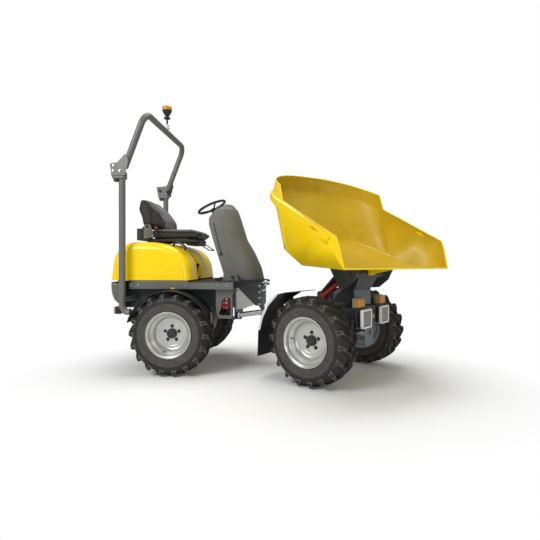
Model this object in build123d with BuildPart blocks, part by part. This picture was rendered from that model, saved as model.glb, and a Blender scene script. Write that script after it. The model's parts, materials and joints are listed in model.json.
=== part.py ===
"""Articulated site dumper with a swivelling front-tipping skip.

Millimetres, +Z up, ground at z = 0, +X forward along the rear chassis.
Each sub-part is drawn in the straight-ahead frame of the body that carries
it, and is then stood in its parked place: the front chassis steered right,
the skip swivelled right and part way tipped.

Frames used while drawing:
  rear chassis   origin on the ground below the articulation pivot
  front chassis  the same origin, turned by the steering angle
  slew frame     origin on the ground below the slewing ring, over the front axle
  skip           the slew frame with the skip level, as it travels
"""

import os
from math import cos, pi, radians, sin, sqrt

from build123d import *

# ---------------------------------------------------------------- driving dimensions
# parked pose, degrees
STEER_ANGLE = -33.5
SLEW_ANGLE = -22.0
TIP_ANGLE = 26.0

# origin of the drawing frames in the finished part
PIVOT_X = 218.0
PIVOT_Y = 303.0

# running gear
TYRE_RADIUS = 384.5
TYRE_WIDTH = 264.0
LUG_HEIGHT = 22.5
SIDEWALL_THICKNESS = 20.0
TREAD_THICKNESS = 22.0
TRACK = 1034.0
REAR_AXLE_X = -1144.0
FRONT_AXLE_X = 544.0
RIM_SEAT_RADIUS = 196.0
RIM_FLANGE_HEIGHT = 21.0
RIM_FLANGE_RADIUS = RIM_SEAT_RADIUS + RIM_FLANGE_HEIGHT
RIM_HALF_WIDTH = 122.0
RIM_WALL = 6.0
HUB_RADIUS = 45.0
HUB_LENGTH = 50.0
SPINDLE_RADIUS = 30.0
AXLE_TUBE_RADIUS = 50.0
RUNNING_FIT = 0.05
SEAT_GAP = 0.3

# rear chassis
BEAM_INNER_Y = 200.0
BEAM_OUTER_Y = 240.0
BEAM_BOTTOM = 600.0
BEAM_TOP = 800.0
BEAM_REAR_X = -1700.0
BEAM_END_X = -590.0
NECK_X = -330.0
RAIL_HEIGHT = 65.0
RAIL_OUTER_Y = 500.0
RAIL_WIDTH = 60.0
RAIL_REAR_X = -1580.0
RAIL_FRONT_X = -565.0
PLATE = 8.0

# pins and eyes of the cylinders
PIN_RADIUS = 12.0
EYE_RADIUS = 28.0

# articulation
KNUCKLE_LOW = 350.0
KNUCKLE_HIGH = 545.0
KNUCKLE_PLATE = 25.0
KNUCKLE_RADIUS = 62.0
PIVOT_PIN_RADIUS = 25.0
KNUCKLE_GAP = 5.5

# roll bar
POST_X = -1612.0
POST_Y = 570.0
TUBE_RADIUS = 30.0
POST_TOP = 1900.0
HOOP_PIN_X = -1672.0
HOOP_PIN_Z = POST_TOP + 35.0
HOOP_PIN_RADIUS = 9.0
HOOP_FOOT_X = -1585.0
HOOP_FOOT_Z = POST_TOP + 50.0
HOOP_TOP_X = -1385.0
HOOP_TOP_Z = 2462.0
HOOP_BEND = 110.0

# hood over the engine
HOOD_REAR_X = -1782.0
HOOD_FRONT_X = -978.0
HOOD_HALF_WIDTH = 500.0
HOOD_BOTTOM = 884.0
HOOD_TOP = 1252.0
HOOD_WALL = 5.0
HOOD_CORNER = 80.0
RECESS_REAR_X = HOOD_FRONT_X - 97.0
RECESS_Y = (-210.0, -50.0)
RECESS_TOP = 1180.0
HOOD_HINGE_X = -1770.0
HOOD_HINGE_Z = 876.0

# skip, in its own level frame
SKIP_HALF_WIDTH = 625.0
SKIP_WALL = 6.0
SKIP_FLOOR = 977.0
SKIP_SIDE_TOP = 1355.0
SKIP_GUARD_TOP = 1474.0
SKIP_REAR_X = -900.0
SKIP_PIN_X = 360.0
SKIP_PIN_Z = 955.0
SKIP_PIN_RADIUS = 20.0
LIP_TAPER = 47.0
BAND_PROUD = 30.0
BAND_HEIGHT = 50.0

# cylinders
TIP_BARREL_LENGTH = 345.0
TIP_BARREL_RADIUS = 32.0
TIP_ROD_LENGTH = 313.0
TIP_ROD_RADIUS = 18.0
STEER_BARREL_LENGTH = 450.0
STEER_BARREL_RADIUS = 26.0
STEER_ROD_LENGTH = 400.0
STEER_ROD_RADIUS = 14.0
BARREL_WALL = 7.0
BARREL_BASE = 8.0
GLAND = 40.0


# ---------------------------------------------------------------- where each frame stands
REAR = Location((PIVOT_X, PIVOT_Y, 0))
FRONT = REAR * Location((0, 0, 0), (0, 0, STEER_ANGLE))
SLEW = FRONT * Location((FRONT_AXLE_X, 0, 0), (0, 0, SLEW_ANGLE))
TIPPED = (
    SLEW
    * Location((SKIP_PIN_X, 0, SKIP_PIN_Z))
    * Location((0, 0, 0), (0, TIP_ANGLE, 0))
    * Location((-SKIP_PIN_X, 0, -SKIP_PIN_Z))
)

os.makedirs("parts", exist_ok=True)


def finish(piece, label, frame):
    """Stand a finished piece in its frame, label it and write its STEP file."""
    piece.part = piece.part.moved(frame)
    piece.part.label = label
    export_step(piece.part, f"parts/{label}.step")


def box(x0, x1, y0, y1, z0, z1, mode=Mode.ADD):
    """A box between two corners, for the builder that is open."""
    with Locations(((x0 + x1) / 2, (y0 + y1) / 2, (z0 + z1) / 2)):
        Box(abs(x1 - x0), abs(y1 - y0), abs(z1 - z0), mode=mode)


def rod(start, end, radius, mode=Mode.ADD):
    """A round bar from one point to another, for the builder that is open."""
    axis = Vector(*end) - Vector(*start)
    with BuildSketch(Plane(origin=start, z_dir=axis)) as section:
        Circle(radius)
    extrude(section.sketch, amount=axis.length, mode=mode)


def side_plate(points, y0, y1, mode=Mode.ADD):
    """A plate with its outline in the XZ plane, from y0 to y1."""
    with BuildSketch(Plane.XZ.offset(-y1)) as outline:
        with BuildLine():
            Polyline(*points, close=True)
        make_face()
    extrude(outline.sketch, amount=y1 - y0, mode=mode)


# ================================================================ wheels
# half section of the rim on the outboard side and then the inboard side: (radius, y)
WELL_RADIUS = RIM_SEAT_RADIUS - 28
RIM_SECTION = [
    (RIM_FLANGE_RADIUS, RIM_HALF_WIDTH),
    (RIM_FLANGE_RADIUS - 7, RIM_HALF_WIDTH),
    (RIM_SEAT_RADIUS - 1, RIM_HALF_WIDTH - 14),
    (RIM_SEAT_RADIUS - RIM_WALL, RIM_HALF_WIDTH - 44),
    (WELL_RADIUS - RIM_WALL, 56),
    (WELL_RADIUS - 10, 22),
    (WELL_RADIUS - 56, 4),
    (HUB_RADIUS, 4),
    (HUB_RADIUS, -6),
    (WELL_RADIUS - 52, -6),
    (WELL_RADIUS - 16, 8),
    (WELL_RADIUS - 14, -60),
    (RIM_SEAT_RADIUS - 12, -82),
    (RIM_SEAT_RADIUS - 8, -RIM_HALF_WIDTH + 14),
    (RIM_FLANGE_RADIUS - 7, -RIM_HALF_WIDTH),
    (RIM_FLANGE_RADIUS, -RIM_HALF_WIDTH),
    (RIM_FLANGE_RADIUS, -RIM_HALF_WIDTH + 5),
    (RIM_SEAT_RADIUS, -RIM_HALF_WIDTH + 18),
    (RIM_SEAT_RADIUS - 4, -RIM_HALF_WIDTH + 44),
    (WELL_RADIUS - 2, -56),
    (WELL_RADIUS, 52),
    (RIM_SEAT_RADIUS - 4, RIM_HALF_WIDTH - 44),
    (RIM_SEAT_RADIUS, RIM_HALF_WIDTH - 18),
    (RIM_FLANGE_RADIUS, RIM_HALF_WIDTH - 5),
]
# the tyre is faceted, one facet for each pair of lugs
LUGS = 18
FACET = cos(pi / LUGS)
BEAD_RADIUS = (RIM_SEAT_RADIUS + SEAT_GAP) / FACET
CROWN_RADIUS = TYRE_RADIUS - LUG_HEIGHT
# stations of the carcass and of the hollow inside, from the outboard bead to the crown: (radius, y)
CARCASS = [(BEAD_RADIUS, RIM_HALF_WIDTH - 20), (CROWN_RADIUS - 62, TYRE_WIDTH / 2),
           (CROWN_RADIUS, TYRE_WIDTH / 2 - 20)]
CAVITY = [(BEAD_RADIUS, RIM_HALF_WIDTH - 19), (BEAD_RADIUS, RIM_HALF_WIDTH - 44),
          (CROWN_RADIUS - TREAD_THICKNESS, TYRE_WIDTH / 2 - SIDEWALL_THICKNESS - 12)]
# one lug's side view, along the bar from the crown's middle to its foot on the side wall
LUG_HALF_LENGTH = 66.0
LUG_WIDTH = 32.0
LUG_SKEW = 32.0
LUG_REACH = LUG_HALF_LENGTH * sin(radians(LUG_SKEW)) + LUG_WIDTH / 2 * cos(radians(LUG_SKEW))
LUG_TOP = sqrt(TYRE_RADIUS**2 - LUG_REACH**2)
# row of lugs, outboard then inboard, and its turn from the top of the wheel in degrees
LUG_PHASES = [(1, -2.5), (-1, 7.5)]


def faceted(stations):
    """A solid of revolution in flat facets, through stations that are mirrored to the other side."""
    with BuildPart() as solid:
        for radius, y in stations + [(radius, -y) for radius, y in reversed(stations)]:
            with BuildSketch(Plane.XZ.offset(-y)):
                RegularPolygon(radius, LUGS, rotation=90 - 180 / LUGS)
        loft(ruled=True)
    return solid.part


def tread_lug():
    """One lug at the top of the wheel, along +Y from the crown's middle out to the side wall."""
    with BuildPart() as lug:
        with BuildSketch(Plane.YZ.offset(-LUG_WIDTH / 2)):
            with BuildLine():
                Polyline((-LUG_HALF_LENGTH, CROWN_RADIUS - 12), (LUG_HALF_LENGTH, CROWN_RADIUS - 27),
                         (LUG_HALF_LENGTH - 4, CROWN_RADIUS), (LUG_HALF_LENGTH - 21, LUG_TOP),
                         (-LUG_HALF_LENGTH, LUG_TOP), close=True)
            make_face()
        extrude(amount=LUG_WIDTH)
    return lug.part


def tyre_block(side):
    """The tyre of one side of the machine, its lugs meeting in arrows that point forward at the top."""
    bars = []
    lug = tread_lug()
    for row, phase in LUG_PHASES:
        bar = Location((0, row * (LUG_HALF_LENGTH - 2), 0), (0, 0, 90 - row * 90 + row * side * LUG_SKEW))
        for step in range(LUGS):
            bars.append(lug.moved(Location((0, 0, 0), (0, side * phase + step * 360 / LUGS, 0)) * bar))
    with BuildPart() as tyre:
        add(faceted(CARCASS))
        add(bars)
        add(faceted(CAVITY), mode=Mode.SUBTRACT)
    return tyre.part


tyre_blocks = {side: tyre_block(side) for side in (1, -1)}


def wheel(corner, frame, axle_x, side):
    """A rim with its hub, and its tyre; side is +1 on the left and -1 on the right."""
    centre = Location((axle_x, side * TRACK / 2, TYRE_RADIUS), (0, 0, 0 if side > 0 else 180))
    with BuildPart() as rim:
        with BuildSketch(Plane.XY):
            with BuildLine():
                Polyline(*RIM_SECTION, close=True)
            make_face()
        revolve(axis=Axis.Y)
        with BuildSketch(Plane.XZ.offset(-25)):
            Circle(HUB_RADIUS)
        extrude(amount=35)
        with BuildSketch(Plane.XZ.offset(6)):
            Circle(60)
        extrude(amount=HUB_LENGTH)
        with BuildSketch(Plane.XZ.offset(-2)):
            Circle(SPINDLE_RADIUS + RUNNING_FIT)
        extrude(amount=HUB_LENGTH + 30, mode=Mode.SUBTRACT)
    finish(rim, f"rim_{corner}", frame * centre)

    with BuildPart() as tyre:
        add(tyre_blocks[side])
    finish(tyre, f"tyre_{corner}", frame * centre)


WHEELS = [
    ("rear_left", REAR, REAR_AXLE_X, 1),
    ("rear_right", REAR, REAR_AXLE_X, -1),
    ("front_left", FRONT, FRONT_AXLE_X, 1),
    ("front_right", FRONT, FRONT_AXLE_X, -1),
]
for corner, frame, axle_x, side in WHEELS:
    wheel(corner, frame, axle_x, side)


def axle(label, frame, axle_x, top):
    """An axle tube with a round drive casing, spindles and two spring-less saddles up to the frame."""
    spindle_end = TRACK / 2 - 4
    tube_end = TRACK / 2 - HUB_LENGTH - 6 - 6
    with BuildPart() as piece:
        rod((axle_x, -spindle_end, TYRE_RADIUS), (axle_x, spindle_end, TYRE_RADIUS), SPINDLE_RADIUS)
        rod((axle_x, -tube_end, TYRE_RADIUS), (axle_x, tube_end, TYRE_RADIUS), AXLE_TUBE_RADIUS)
        rod((axle_x, -95, TYRE_RADIUS), (axle_x, 95, TYRE_RADIUS), 105)
        for y in (-BEAM_OUTER_Y, BEAM_INNER_Y):
            box(axle_x - 55, axle_x + 55, y, y + BEAM_OUTER_Y - BEAM_INNER_Y, TYRE_RADIUS, top - SEAT_GAP)
    finish(piece, label, frame)


axle("rear_axle", REAR, REAR_AXLE_X, BEAM_BOTTOM)

# ================================================================ rear chassis
STEER_FOOT = (-560.0, -212.0, 525.0)
STEER_EYE = (110.0, -175.0, 600.0)
RAIL_TOP = BEAM_TOP + RAIL_HEIGHT
RAIL_INNER_Y = RAIL_OUTER_Y - RAIL_WIDTH

BULKHEAD = 20.0
GUSSET = 12.0
NECK_WIDTH = 140.0
with BuildPart() as rear_frame:
    for side in (1, -1):
        box(BEAM_REAR_X, BEAM_END_X, side * BEAM_INNER_Y, side * BEAM_OUTER_Y, BEAM_BOTTOM, BEAM_TOP)
        box(BEAM_END_X, NECK_X, side * BEAM_INNER_Y, side * BEAM_OUTER_Y, BEAM_TOP, RAIL_TOP)
        side_plate([(BEAM_END_X + 18, BEAM_TOP + 1), (NECK_X - 62, BEAM_BOTTOM + 19), (NECK_X, BEAM_BOTTOM + 19),
                    (NECK_X, BEAM_TOP + 1)], *sorted((side * BEAM_INNER_Y, side * (BEAM_INNER_Y + GUSSET))))
    box(BEAM_END_X - GUSSET, BEAM_END_X, -BEAM_OUTER_Y, BEAM_OUTER_Y, STEER_FOOT[2] - 45, RAIL_TOP)
    # shelf and pin for the foot of the steering cylinder
    box(BEAM_END_X - 1, STEER_FOOT[0] + 30, STEER_FOOT[1] - 32, STEER_FOOT[1] + 32, STEER_FOOT[2] - 40,
        STEER_FOOT[2] - EYE_RADIUS - SEAT_GAP)
    rod((STEER_FOOT[0], STEER_FOOT[1], STEER_FOOT[2] - 30), (STEER_FOOT[0], STEER_FOOT[1], STEER_FOOT[2] + 30),
        PIN_RADIUS)
    box(BEAM_REAR_X, BEAM_REAR_X + BULKHEAD, -400, 400, BEAM_BOTTOM, RAIL_TOP)
    # front bulkhead, neck and the two eyes of the articulation joint
    box(NECK_X - BULKHEAD, NECK_X, -BEAM_OUTER_Y, BEAM_OUTER_Y, BEAM_BOTTOM, RAIL_TOP)
    box(NECK_X - BULKHEAD, NECK_X, -90, 90, KNUCKLE_LOW, BEAM_BOTTOM)
    box(NECK_X, -110, -NECK_WIDTH / 2, NECK_WIDTH / 2, KNUCKLE_LOW, KNUCKLE_HIGH)
    for z in (KNUCKLE_LOW, KNUCKLE_HIGH - KNUCKLE_PLATE):
        with BuildSketch(Plane.XY.offset(z)):
            Circle(KNUCKLE_RADIUS + 8)
            with Locations((NECK_X / 2, 0)):
                Rectangle(-NECK_X, NECK_WIDTH)
        extrude(amount=KNUCKLE_PLATE)
    rod((0, 0, KNUCKLE_LOW - 10), (0, 0, KNUCKLE_HIGH + 10), PIVOT_PIN_RADIUS)
finish(rear_frame, "rear_frame", REAR)

# side rails on their cross members, welded on top of the beams
CROSS_MEMBER = 45.0
with BuildPart() as side_rails:
    for side in (1, -1):
        box(RAIL_REAR_X, RAIL_FRONT_X, side * RAIL_INNER_Y, side * RAIL_OUTER_Y, BEAM_TOP, RAIL_TOP)
        # strips that the hood rests on
        box(HOOD_REAR_X + 222, HOOD_FRONT_X - 22, side * (RAIL_OUTER_Y - 22), side * (RAIL_OUTER_Y - 4),
            RAIL_TOP - 1, HOOD_BOTTOM - SEAT_GAP)
    for x in (RAIL_REAR_X, -965.0, BEAM_END_X - GUSSET - CROSS_MEMBER):
        box(x, x + CROSS_MEMBER, -RAIL_OUTER_Y, RAIL_OUTER_Y, BEAM_TOP, RAIL_TOP)
    for side in (1, -1):
        box(BEAM_REAR_X + BULKHEAD, RAIL_REAR_X, side * BEAM_INNER_Y, side * BEAM_OUTER_Y, BEAM_TOP, RAIL_TOP)
finish(side_rails, "side_rails", REAR)

# plates that hang from the rails and screen the valve block
SCREEN_Y = 424.0
with BuildPart() as side_plates:
    for side in (1, -1):
        side_plate([(-745, BEAM_TOP), (-585, BEAM_TOP), (-585, 517), (-725, 517), (-745, 600)],
                   side * SCREEN_Y - PLATE / 2, side * SCREEN_Y + PLATE / 2)
        box(-640, -592, side * BEAM_OUTER_Y, side * SCREEN_Y, BEAM_TOP - 60, BEAM_TOP)
        box(-745, -585, side * (SCREEN_Y - PLATE / 2), side * RAIL_INNER_Y + side * 20, BEAM_TOP - 10, BEAM_TOP)
finish(side_plates, "side_plates", REAR)

# chequer plate floor, with the lifting eyes welded on beside the console
DECK_TOP = RAIL_TOP + SEAT_GAP + 6
DECK_REAR_X = RECESS_REAR_X + 10
LIFTING_EYE_X = -570.0
LIFTING_EYE_RADIUS = 14.0
with BuildPart() as floor_plate:
    with BuildSketch(Plane.XY.offset(RAIL_TOP + SEAT_GAP)):
        with BuildLine():
            Polyline((DECK_REAR_X, -230), (HOOD_FRONT_X - 7, -480), (-600, -480), (-330, -230), (-300, -210),
                     (-300, 210), (-330, 230), (-600, 480), (HOOD_FRONT_X - 7, 480), (DECK_REAR_X, 230),
                     close=True)
        make_face()
    extrude(amount=DECK_TOP - RAIL_TOP - SEAT_GAP)
    for side in (1, -1):
        y = side * 246
        side_plate([(LIFTING_EYE_X - 30, DECK_TOP - 1), (LIFTING_EYE_X + 30, DECK_TOP - 1),
                    (LIFTING_EYE_X + 28, 905), (LIFTING_EYE_X + 15, 925), (LIFTING_EYE_X, 930),
                    (LIFTING_EYE_X - 15, 925), (LIFTING_EYE_X - 28, 905)], y - 6, y + 6)
        rod((LIFTING_EYE_X, y - 7, 903), (LIFTING_EYE_X, y + 7, 903), LIFTING_EYE_RADIUS, mode=Mode.SUBTRACT)
finish(floor_plate, "floor_plate", REAR)

# the engine stops short of the arc that the wall of the hood's recess swings through
with BuildPart() as engine_block:
    box(-1530, RECESS_REAR_X - HOOD_WALL - 55, -BEAM_INNER_Y + SEAT_GAP, BEAM_INNER_Y - SEAT_GAP, 640, 1100)
finish(engine_block, "engine_block", REAR)

with BuildPart() as counterweight:
    side_plate([(-1798, 862), (-1798, 800), (-1790, 740), (-1765, 685), (-1730, 652), (-1700 - SEAT_GAP, 650),
                (-1700 - SEAT_GAP, 862)], -440, 440)
    fillet(counterweight.edges().filter_by(lambda e: abs(abs(e.center().Y) - 440) < 1 and e.center().X < -1705),
           radius=30)
    for side in (1, -1):
        rod((HOOD_HINGE_X, side * 270, HOOD_HINGE_Z), (HOOD_HINGE_X, side * 330, HOOD_HINGE_Z), 5)
        for y in (270, 322):
            box(HOOD_HINGE_X - 5, HOOD_HINGE_X + 5, side * y, side * (y + 8), 860, HOOD_HINGE_Z)
finish(counterweight, "counterweight", REAR)

# rear mudguards: a bent sheet over each wheel
FENDER_RADIUS = TYRE_RADIUS + 24
FENDER_INNER_Y = 402.0
with BuildPart() as rear_fenders:
    for side in (1, -1):
        y0, y1 = sorted((side * FENDER_INNER_Y, side * 640))
        with BuildSketch(Plane.XZ.offset(-y1)):
            with Locations((REAR_AXLE_X, TYRE_RADIUS)):
                Circle(FENDER_RADIUS)
                Circle(FENDER_RADIUS - 6, mode=Mode.SUBTRACT)
            with BuildLine():
                Polyline((REAR_AXLE_X, TYRE_RADIUS), (REAR_AXLE_X + 600, TYRE_RADIUS + 330),
                         (REAR_AXLE_X + 600, TYRE_RADIUS + 900), (REAR_AXLE_X - 900, TYRE_RADIUS + 900),
                         (REAR_AXLE_X - 900, TYRE_RADIUS + 260), close=True)
            make_face(mode=Mode.INTERSECT)
        extrude(amount=y1 - y0)
        box(REAR_AXLE_X - 60, REAR_AXLE_X + 60, side * (RAIL_INNER_Y + 5), side * (RAIL_OUTER_Y - 5),
            TYRE_RADIUS + FENDER_RADIUS - 3, BEAM_TOP - SEAT_GAP)
finish(rear_fenders, "rear_fenders", REAR)

with BuildPart() as rear_lights:
    for side in (1, -1):
        box(-1722, -1650, side * 470, side * 530, 560, 632)
        box(-1662, -1650, side * 480, side * 520, 570, 712)
        box(-1662, POST_X - 22 - SEAT_GAP, side * 480, side * 520, 690, 712)
finish(rear_lights, "rear_lights", REAR)

# ---------------------------------------------------------------- tow hitch: jaw with a vertical pin hole
HITCH_HOLE_RADIUS = 13.0
with BuildPart() as tow_hitch:
    box(BEAM_REAR_X - 12 - SEAT_GAP, BEAM_REAR_X - SEAT_GAP, -60, 60, 560, 645)
    for z in (565, 625):
        with BuildSketch(Plane.XY.offset(z)):
            with Locations((-1780, 0)):
                Circle(38)
            with Locations((-1746, 0)):
                Rectangle(68, 76)
            with Locations((-1780, 0)):
                Circle(HITCH_HOLE_RADIUS, mode=Mode.SUBTRACT)
        extrude(amount=15)
finish(tow_hitch, "tow_hitch", REAR)

with BuildPart() as valve_block:
    box(-700, -640, -BEAM_OUTER_Y - 110, -BEAM_OUTER_Y - SEAT_GAP, 600, 720)
finish(valve_block, "valve_block", REAR)

# ---------------------------------------------------------------- roll bar posts
with BuildPart() as rops_posts:
    for side in (1, -1):
        y = side * POST_Y
        with BuildLine() as post_path:
            FilletPolyline((-1528, y, 590), (POST_X + 30, y, 590), (POST_X, y, 640), (POST_X, y, POST_TOP),
                           radius=35)
        with BuildSketch(Plane(origin=post_path.line @ 0, z_dir=post_path.line % 0)):
            Circle(TUBE_RADIUS)
        sweep(path=post_path.line)
        rod((POST_X, y, 700), (POST_X, side * (BEAM_OUTER_Y + SEAT_GAP), 700), 22)
        # hinge bracket at the top: two cheeks with a cross pin
        for cheek in (-1, 1):
            y0, y1 = sorted((y + cheek * 31, y + cheek * 39))
            side_plate([(-1716, POST_TOP + 80), (-1692, POST_TOP - 58), (-1580, POST_TOP - 58), (-1580, POST_TOP),
                        (-1640, POST_TOP + 85)], y0, y1)
        box(POST_X - 45, POST_X + 28, y - 32, y + 32, POST_TOP - 50, POST_TOP)
        rod((HOOP_PIN_X, y - 45, HOOP_PIN_Z), (HOOP_PIN_X, y + 45, HOOP_PIN_Z), HOOP_PIN_RADIUS)
finish(rops_posts, "rops_posts", REAR)

with BuildPart() as rops_hoop:
    with BuildLine() as hoop_path:
        FilletPolyline((HOOP_FOOT_X, -POST_Y, HOOP_FOOT_Z), (HOOP_TOP_X, -POST_Y, HOOP_TOP_Z),
                       (HOOP_TOP_X, POST_Y, HOOP_TOP_Z), (HOOP_FOOT_X, POST_Y, HOOP_FOOT_Z),
                       radius=HOOP_BEND)
    with BuildSketch(Plane(origin=hoop_path.line @ 0, z_dir=hoop_path.line % 0)):
        Circle(TUBE_RADIUS)
    sweep(path=hoop_path.line)
    for side in (1, -1):
        y = side * POST_Y
        side_plate([(-1700, POST_TOP + 15), (-1630, POST_TOP + 8), (-1560, POST_TOP + 50), (-1572, POST_TOP + 100),
                    (-1650, POST_TOP + 85), (-1700, POST_TOP + 60)], y - 25, y + 25)
        rod((HOOP_PIN_X, y - 26, HOOP_PIN_Z), (HOOP_PIN_X, y + 26, HOOP_PIN_Z), HOOP_PIN_RADIUS + RUNNING_FIT,
            mode=Mode.SUBTRACT)
finish(rops_hoop, "rops_hoop", REAR)

# beacon on its socket: bracket, stem, flange, cup and dome, as heights above the hoop
BEACON_FOOT = HOOP_TOP_Z + TUBE_RADIUS + SEAT_GAP
BEACON_SECTION = [(16, 0), (16, 55), (10, 60), (10, 118), (35, 120), (35, 134), (16, 136), (48, 203), (52, 205),
                  (52, 235), (46, 250), (30, 257)]
with BuildPart() as beacon:
    with BuildSketch(Plane.XZ):
        with BuildLine():
            Polyline((HOOP_TOP_X, BEACON_FOOT), *[(HOOP_TOP_X + r, BEACON_FOOT + z) for r, z in BEACON_SECTION],
                     (HOOP_TOP_X, BEACON_FOOT + BEACON_SECTION[-1][1]), close=True)
        make_face()
    revolve(axis=Axis((HOOP_TOP_X, 0, 0), (0, 0, 1)))
finish(beacon, "beacon", REAR)

# ================================================================ hood and seat (they tilt as one)
def hood_block(inset, bottom):
    """The hood as a solid block inset from its outer skin, its side outline of lines and arcs."""
    rear_x = HOOD_REAR_X + inset
    front_x = HOOD_FRONT_X - inset
    top = HOOD_TOP - inset
    with BuildPart() as block:
        with BuildSketch(Plane.XZ.offset(-HOOD_HALF_WIDTH + inset)) as outline:
            with BuildLine():
                tail = Line((rear_x, HOOD_BOTTOM), (rear_x + 23, HOOD_BOTTOM + 175))
                TangentArc(tail @ 1, (rear_x + 242, top), tangent=tail % 1)
                ridge = Line((rear_x + 242, top), (HOOD_FRONT_X - 422, top))
                crown = TangentArc(ridge @ 1, (HOOD_FRONT_X - 175 - inset / 2, top - 51), tangent=ridge % 1)
                brow = TangentArc(crown @ 1, (front_x - 15, HOOD_BOTTOM + 107), tangent=crown % 1)
                Line(brow @ 1, (front_x, HOOD_BOTTOM))
                if bottom < HOOD_BOTTOM:
                    Polyline((front_x, HOOD_BOTTOM), (front_x, bottom), (rear_x, bottom), (rear_x, HOOD_BOTTOM))
                else:
                    Line((front_x, HOOD_BOTTOM), (rear_x, HOOD_BOTTOM))
            make_face()
        extrude(outline.sketch, amount=2 * (HOOD_HALF_WIDTH - inset))
        side_edges = block.edges().filter_by(lambda e: abs(e.center().Y) > HOOD_HALF_WIDTH - inset - 1
                                             and e.center().Z > HOOD_BOTTOM + 5)
        fillet(side_edges, radius=HOOD_CORNER - inset)
    return block.part


hood_skin = hood_block(0, HOOD_BOTTOM)
hood_hollow = hood_block(HOOD_WALL, HOOD_BOTTOM - 20)
with BuildPart() as hood:
    add(hood_skin)
    add(hood_hollow, mode=Mode.SUBTRACT)
    # recess in the front for the levers, closed from the engine by its own walls
    with BuildPart(mode=Mode.PRIVATE) as recess:
        add(hood_skin)
        box(RECESS_REAR_X - HOOD_WALL, HOOD_FRONT_X + 50, RECESS_Y[0] - HOOD_WALL, RECESS_Y[1] + HOOD_WALL,
            HOOD_BOTTOM, RECESS_TOP + HOOD_WALL, mode=Mode.INTERSECT)
    add(recess.part)
    box(RECESS_REAR_X, HOOD_FRONT_X + 50, RECESS_Y[0], RECESS_Y[1], HOOD_BOTTOM - 1, RECESS_TOP,
        mode=Mode.SUBTRACT)
    for side in (1, -1):
        rod((HOOD_HINGE_X, side * 280, HOOD_HINGE_Z), (HOOD_HINGE_X, side * 320, HOOD_HINGE_Z), 9)
        box(HOOD_HINGE_X - 9, HOOD_HINGE_X + 9, side * 280, side * 320, HOOD_HINGE_Z, HOOD_HINGE_Z + 28)
        rod((HOOD_HINGE_X, side * 279, HOOD_HINGE_Z), (HOOD_HINGE_X, side * 321, HOOD_HINGE_Z), 5 + RUNNING_FIT,
            mode=Mode.SUBTRACT)
finish(hood, "hood", REAR)

CUSHION_BOTTOM = HOOD_TOP + 50
with BuildPart() as seat_base:
    box(-1530, -1405, -170, 170, HOOD_TOP + SEAT_GAP, HOOD_TOP + 22)
    box(-1540, -1100, -190, 190, HOOD_TOP + 20, CUSHION_BOTTOM)
    # shelf with the document box behind the seat, and the bolster brackets
    box(-1659, -1500, -150, 150, CUSHION_BOTTOM - 14, CUSHION_BOTTOM - 2)
    box(-1659, -1604, -150, 150, CUSHION_BOTTOM - 3, 1412)
    for side in (1, -1):
        side_plate([(-1575, 1290), (-1490, 1290), (-1490, 1400), (-1530, 1440), (-1575, 1420)],
                   side * 206 - 5, side * 206 + 5)
        box(-1560, -1500, side * 150, side * 211, 1290, 1300)
finish(seat_base, "seat_base", REAR)

with BuildPart() as seat_cushion:
    side_plate([(-1480, CUSHION_BOTTOM + SEAT_GAP), (-985, CUSHION_BOTTOM + SEAT_GAP), (-950, 1335), (-975, 1372),
                (-1050, 1392), (-1380, 1398), (-1480, 1392)], -225, 225)
    fillet(seat_cushion.edges().filter_by(lambda e: abs(abs(e.center().Y) - 225) < 1), radius=16)
finish(seat_cushion, "seat_cushion", REAR)

with BuildPart() as seat_backrest:
    side_plate([(-1545, 1402), (-1330, 1402), (-1322, 1470), (-1400, 1584), (-1545, 1708), (-1580, 1722),
                (-1612, 1715), (-1630, 1618), (-1582, 1452)], -200.7, 200.7)
    fillet(seat_backrest.edges().filter_by(lambda e: abs(abs(e.center().Y) - 200.7) < 1), radius=14)
finish(seat_backrest, "seat_backrest", REAR)

# levers that stand in the hood's recess, on a block on the floor
with BuildPart() as control_levers:
    box(-1062, -1006, -190, -70, DECK_TOP + SEAT_GAP, DECK_TOP + 40)
    for y in (-170.0, -130.0, -90.0):
        rod((-1034, y, DECK_TOP + 30), (-1014, y, DECK_TOP + 150), 6)
        with Locations((-1013, y, DECK_TOP + 158)):
            Sphere(14)
finish(control_levers, "control_levers", REAR)

# ================================================================ steering console
COLUMN_TILT = 24.8
COLUMN_RADIUS = 24.0
COLUMN_DEPTH = 176.0
WHEEL_CENTRE = Vector(-890, 0, 1648)
WHEEL_RADIUS = 150.0
COLUMN_AXIS = Vector(-sin(radians(COLUMN_TILT)), 0, cos(radians(COLUMN_TILT)))
# plan of the console at its heights, flat at the rear and sides and round in front:
# (height, rear x, x where the front's curve starts, front x, half width)
CONSOLE_SECTIONS = [
    (DECK_TOP + SEAT_GAP, -700, -522, -322, 200),
    (1000, -742, -552, -352, 200),
    (1150, -790, -620, -420, 200),
    (1290, -834, -700, -503, 198),
    (1440, -876, -730, -550, 192),
    (1510, -880, -735, -571, 186),
    (1600, -815, -730, -605, 170),
    (1662, -720, -700, -660, 110),
]
with BuildPart() as steering_console:
    for height, rear_x, curve_x, front_x, half_width in CONSOLE_SECTIONS:
        with BuildSketch(Plane.XY.offset(height)):
            with BuildLine():
                Polyline((curve_x, half_width), (rear_x, half_width), (rear_x, -half_width),
                         (curve_x, -half_width))
                ThreePointArc((curve_x, -half_width), (front_x, 0), (curve_x, half_width))
            make_face()
    loft(ruled=True)
    rod(tuple(WHEEL_CENTRE - COLUMN_AXIS * COLUMN_DEPTH), tuple(WHEEL_CENTRE - COLUMN_AXIS * 40),
        COLUMN_RADIUS + SEAT_GAP, mode=Mode.SUBTRACT)
finish(steering_console, "steering_console", REAR)

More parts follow.
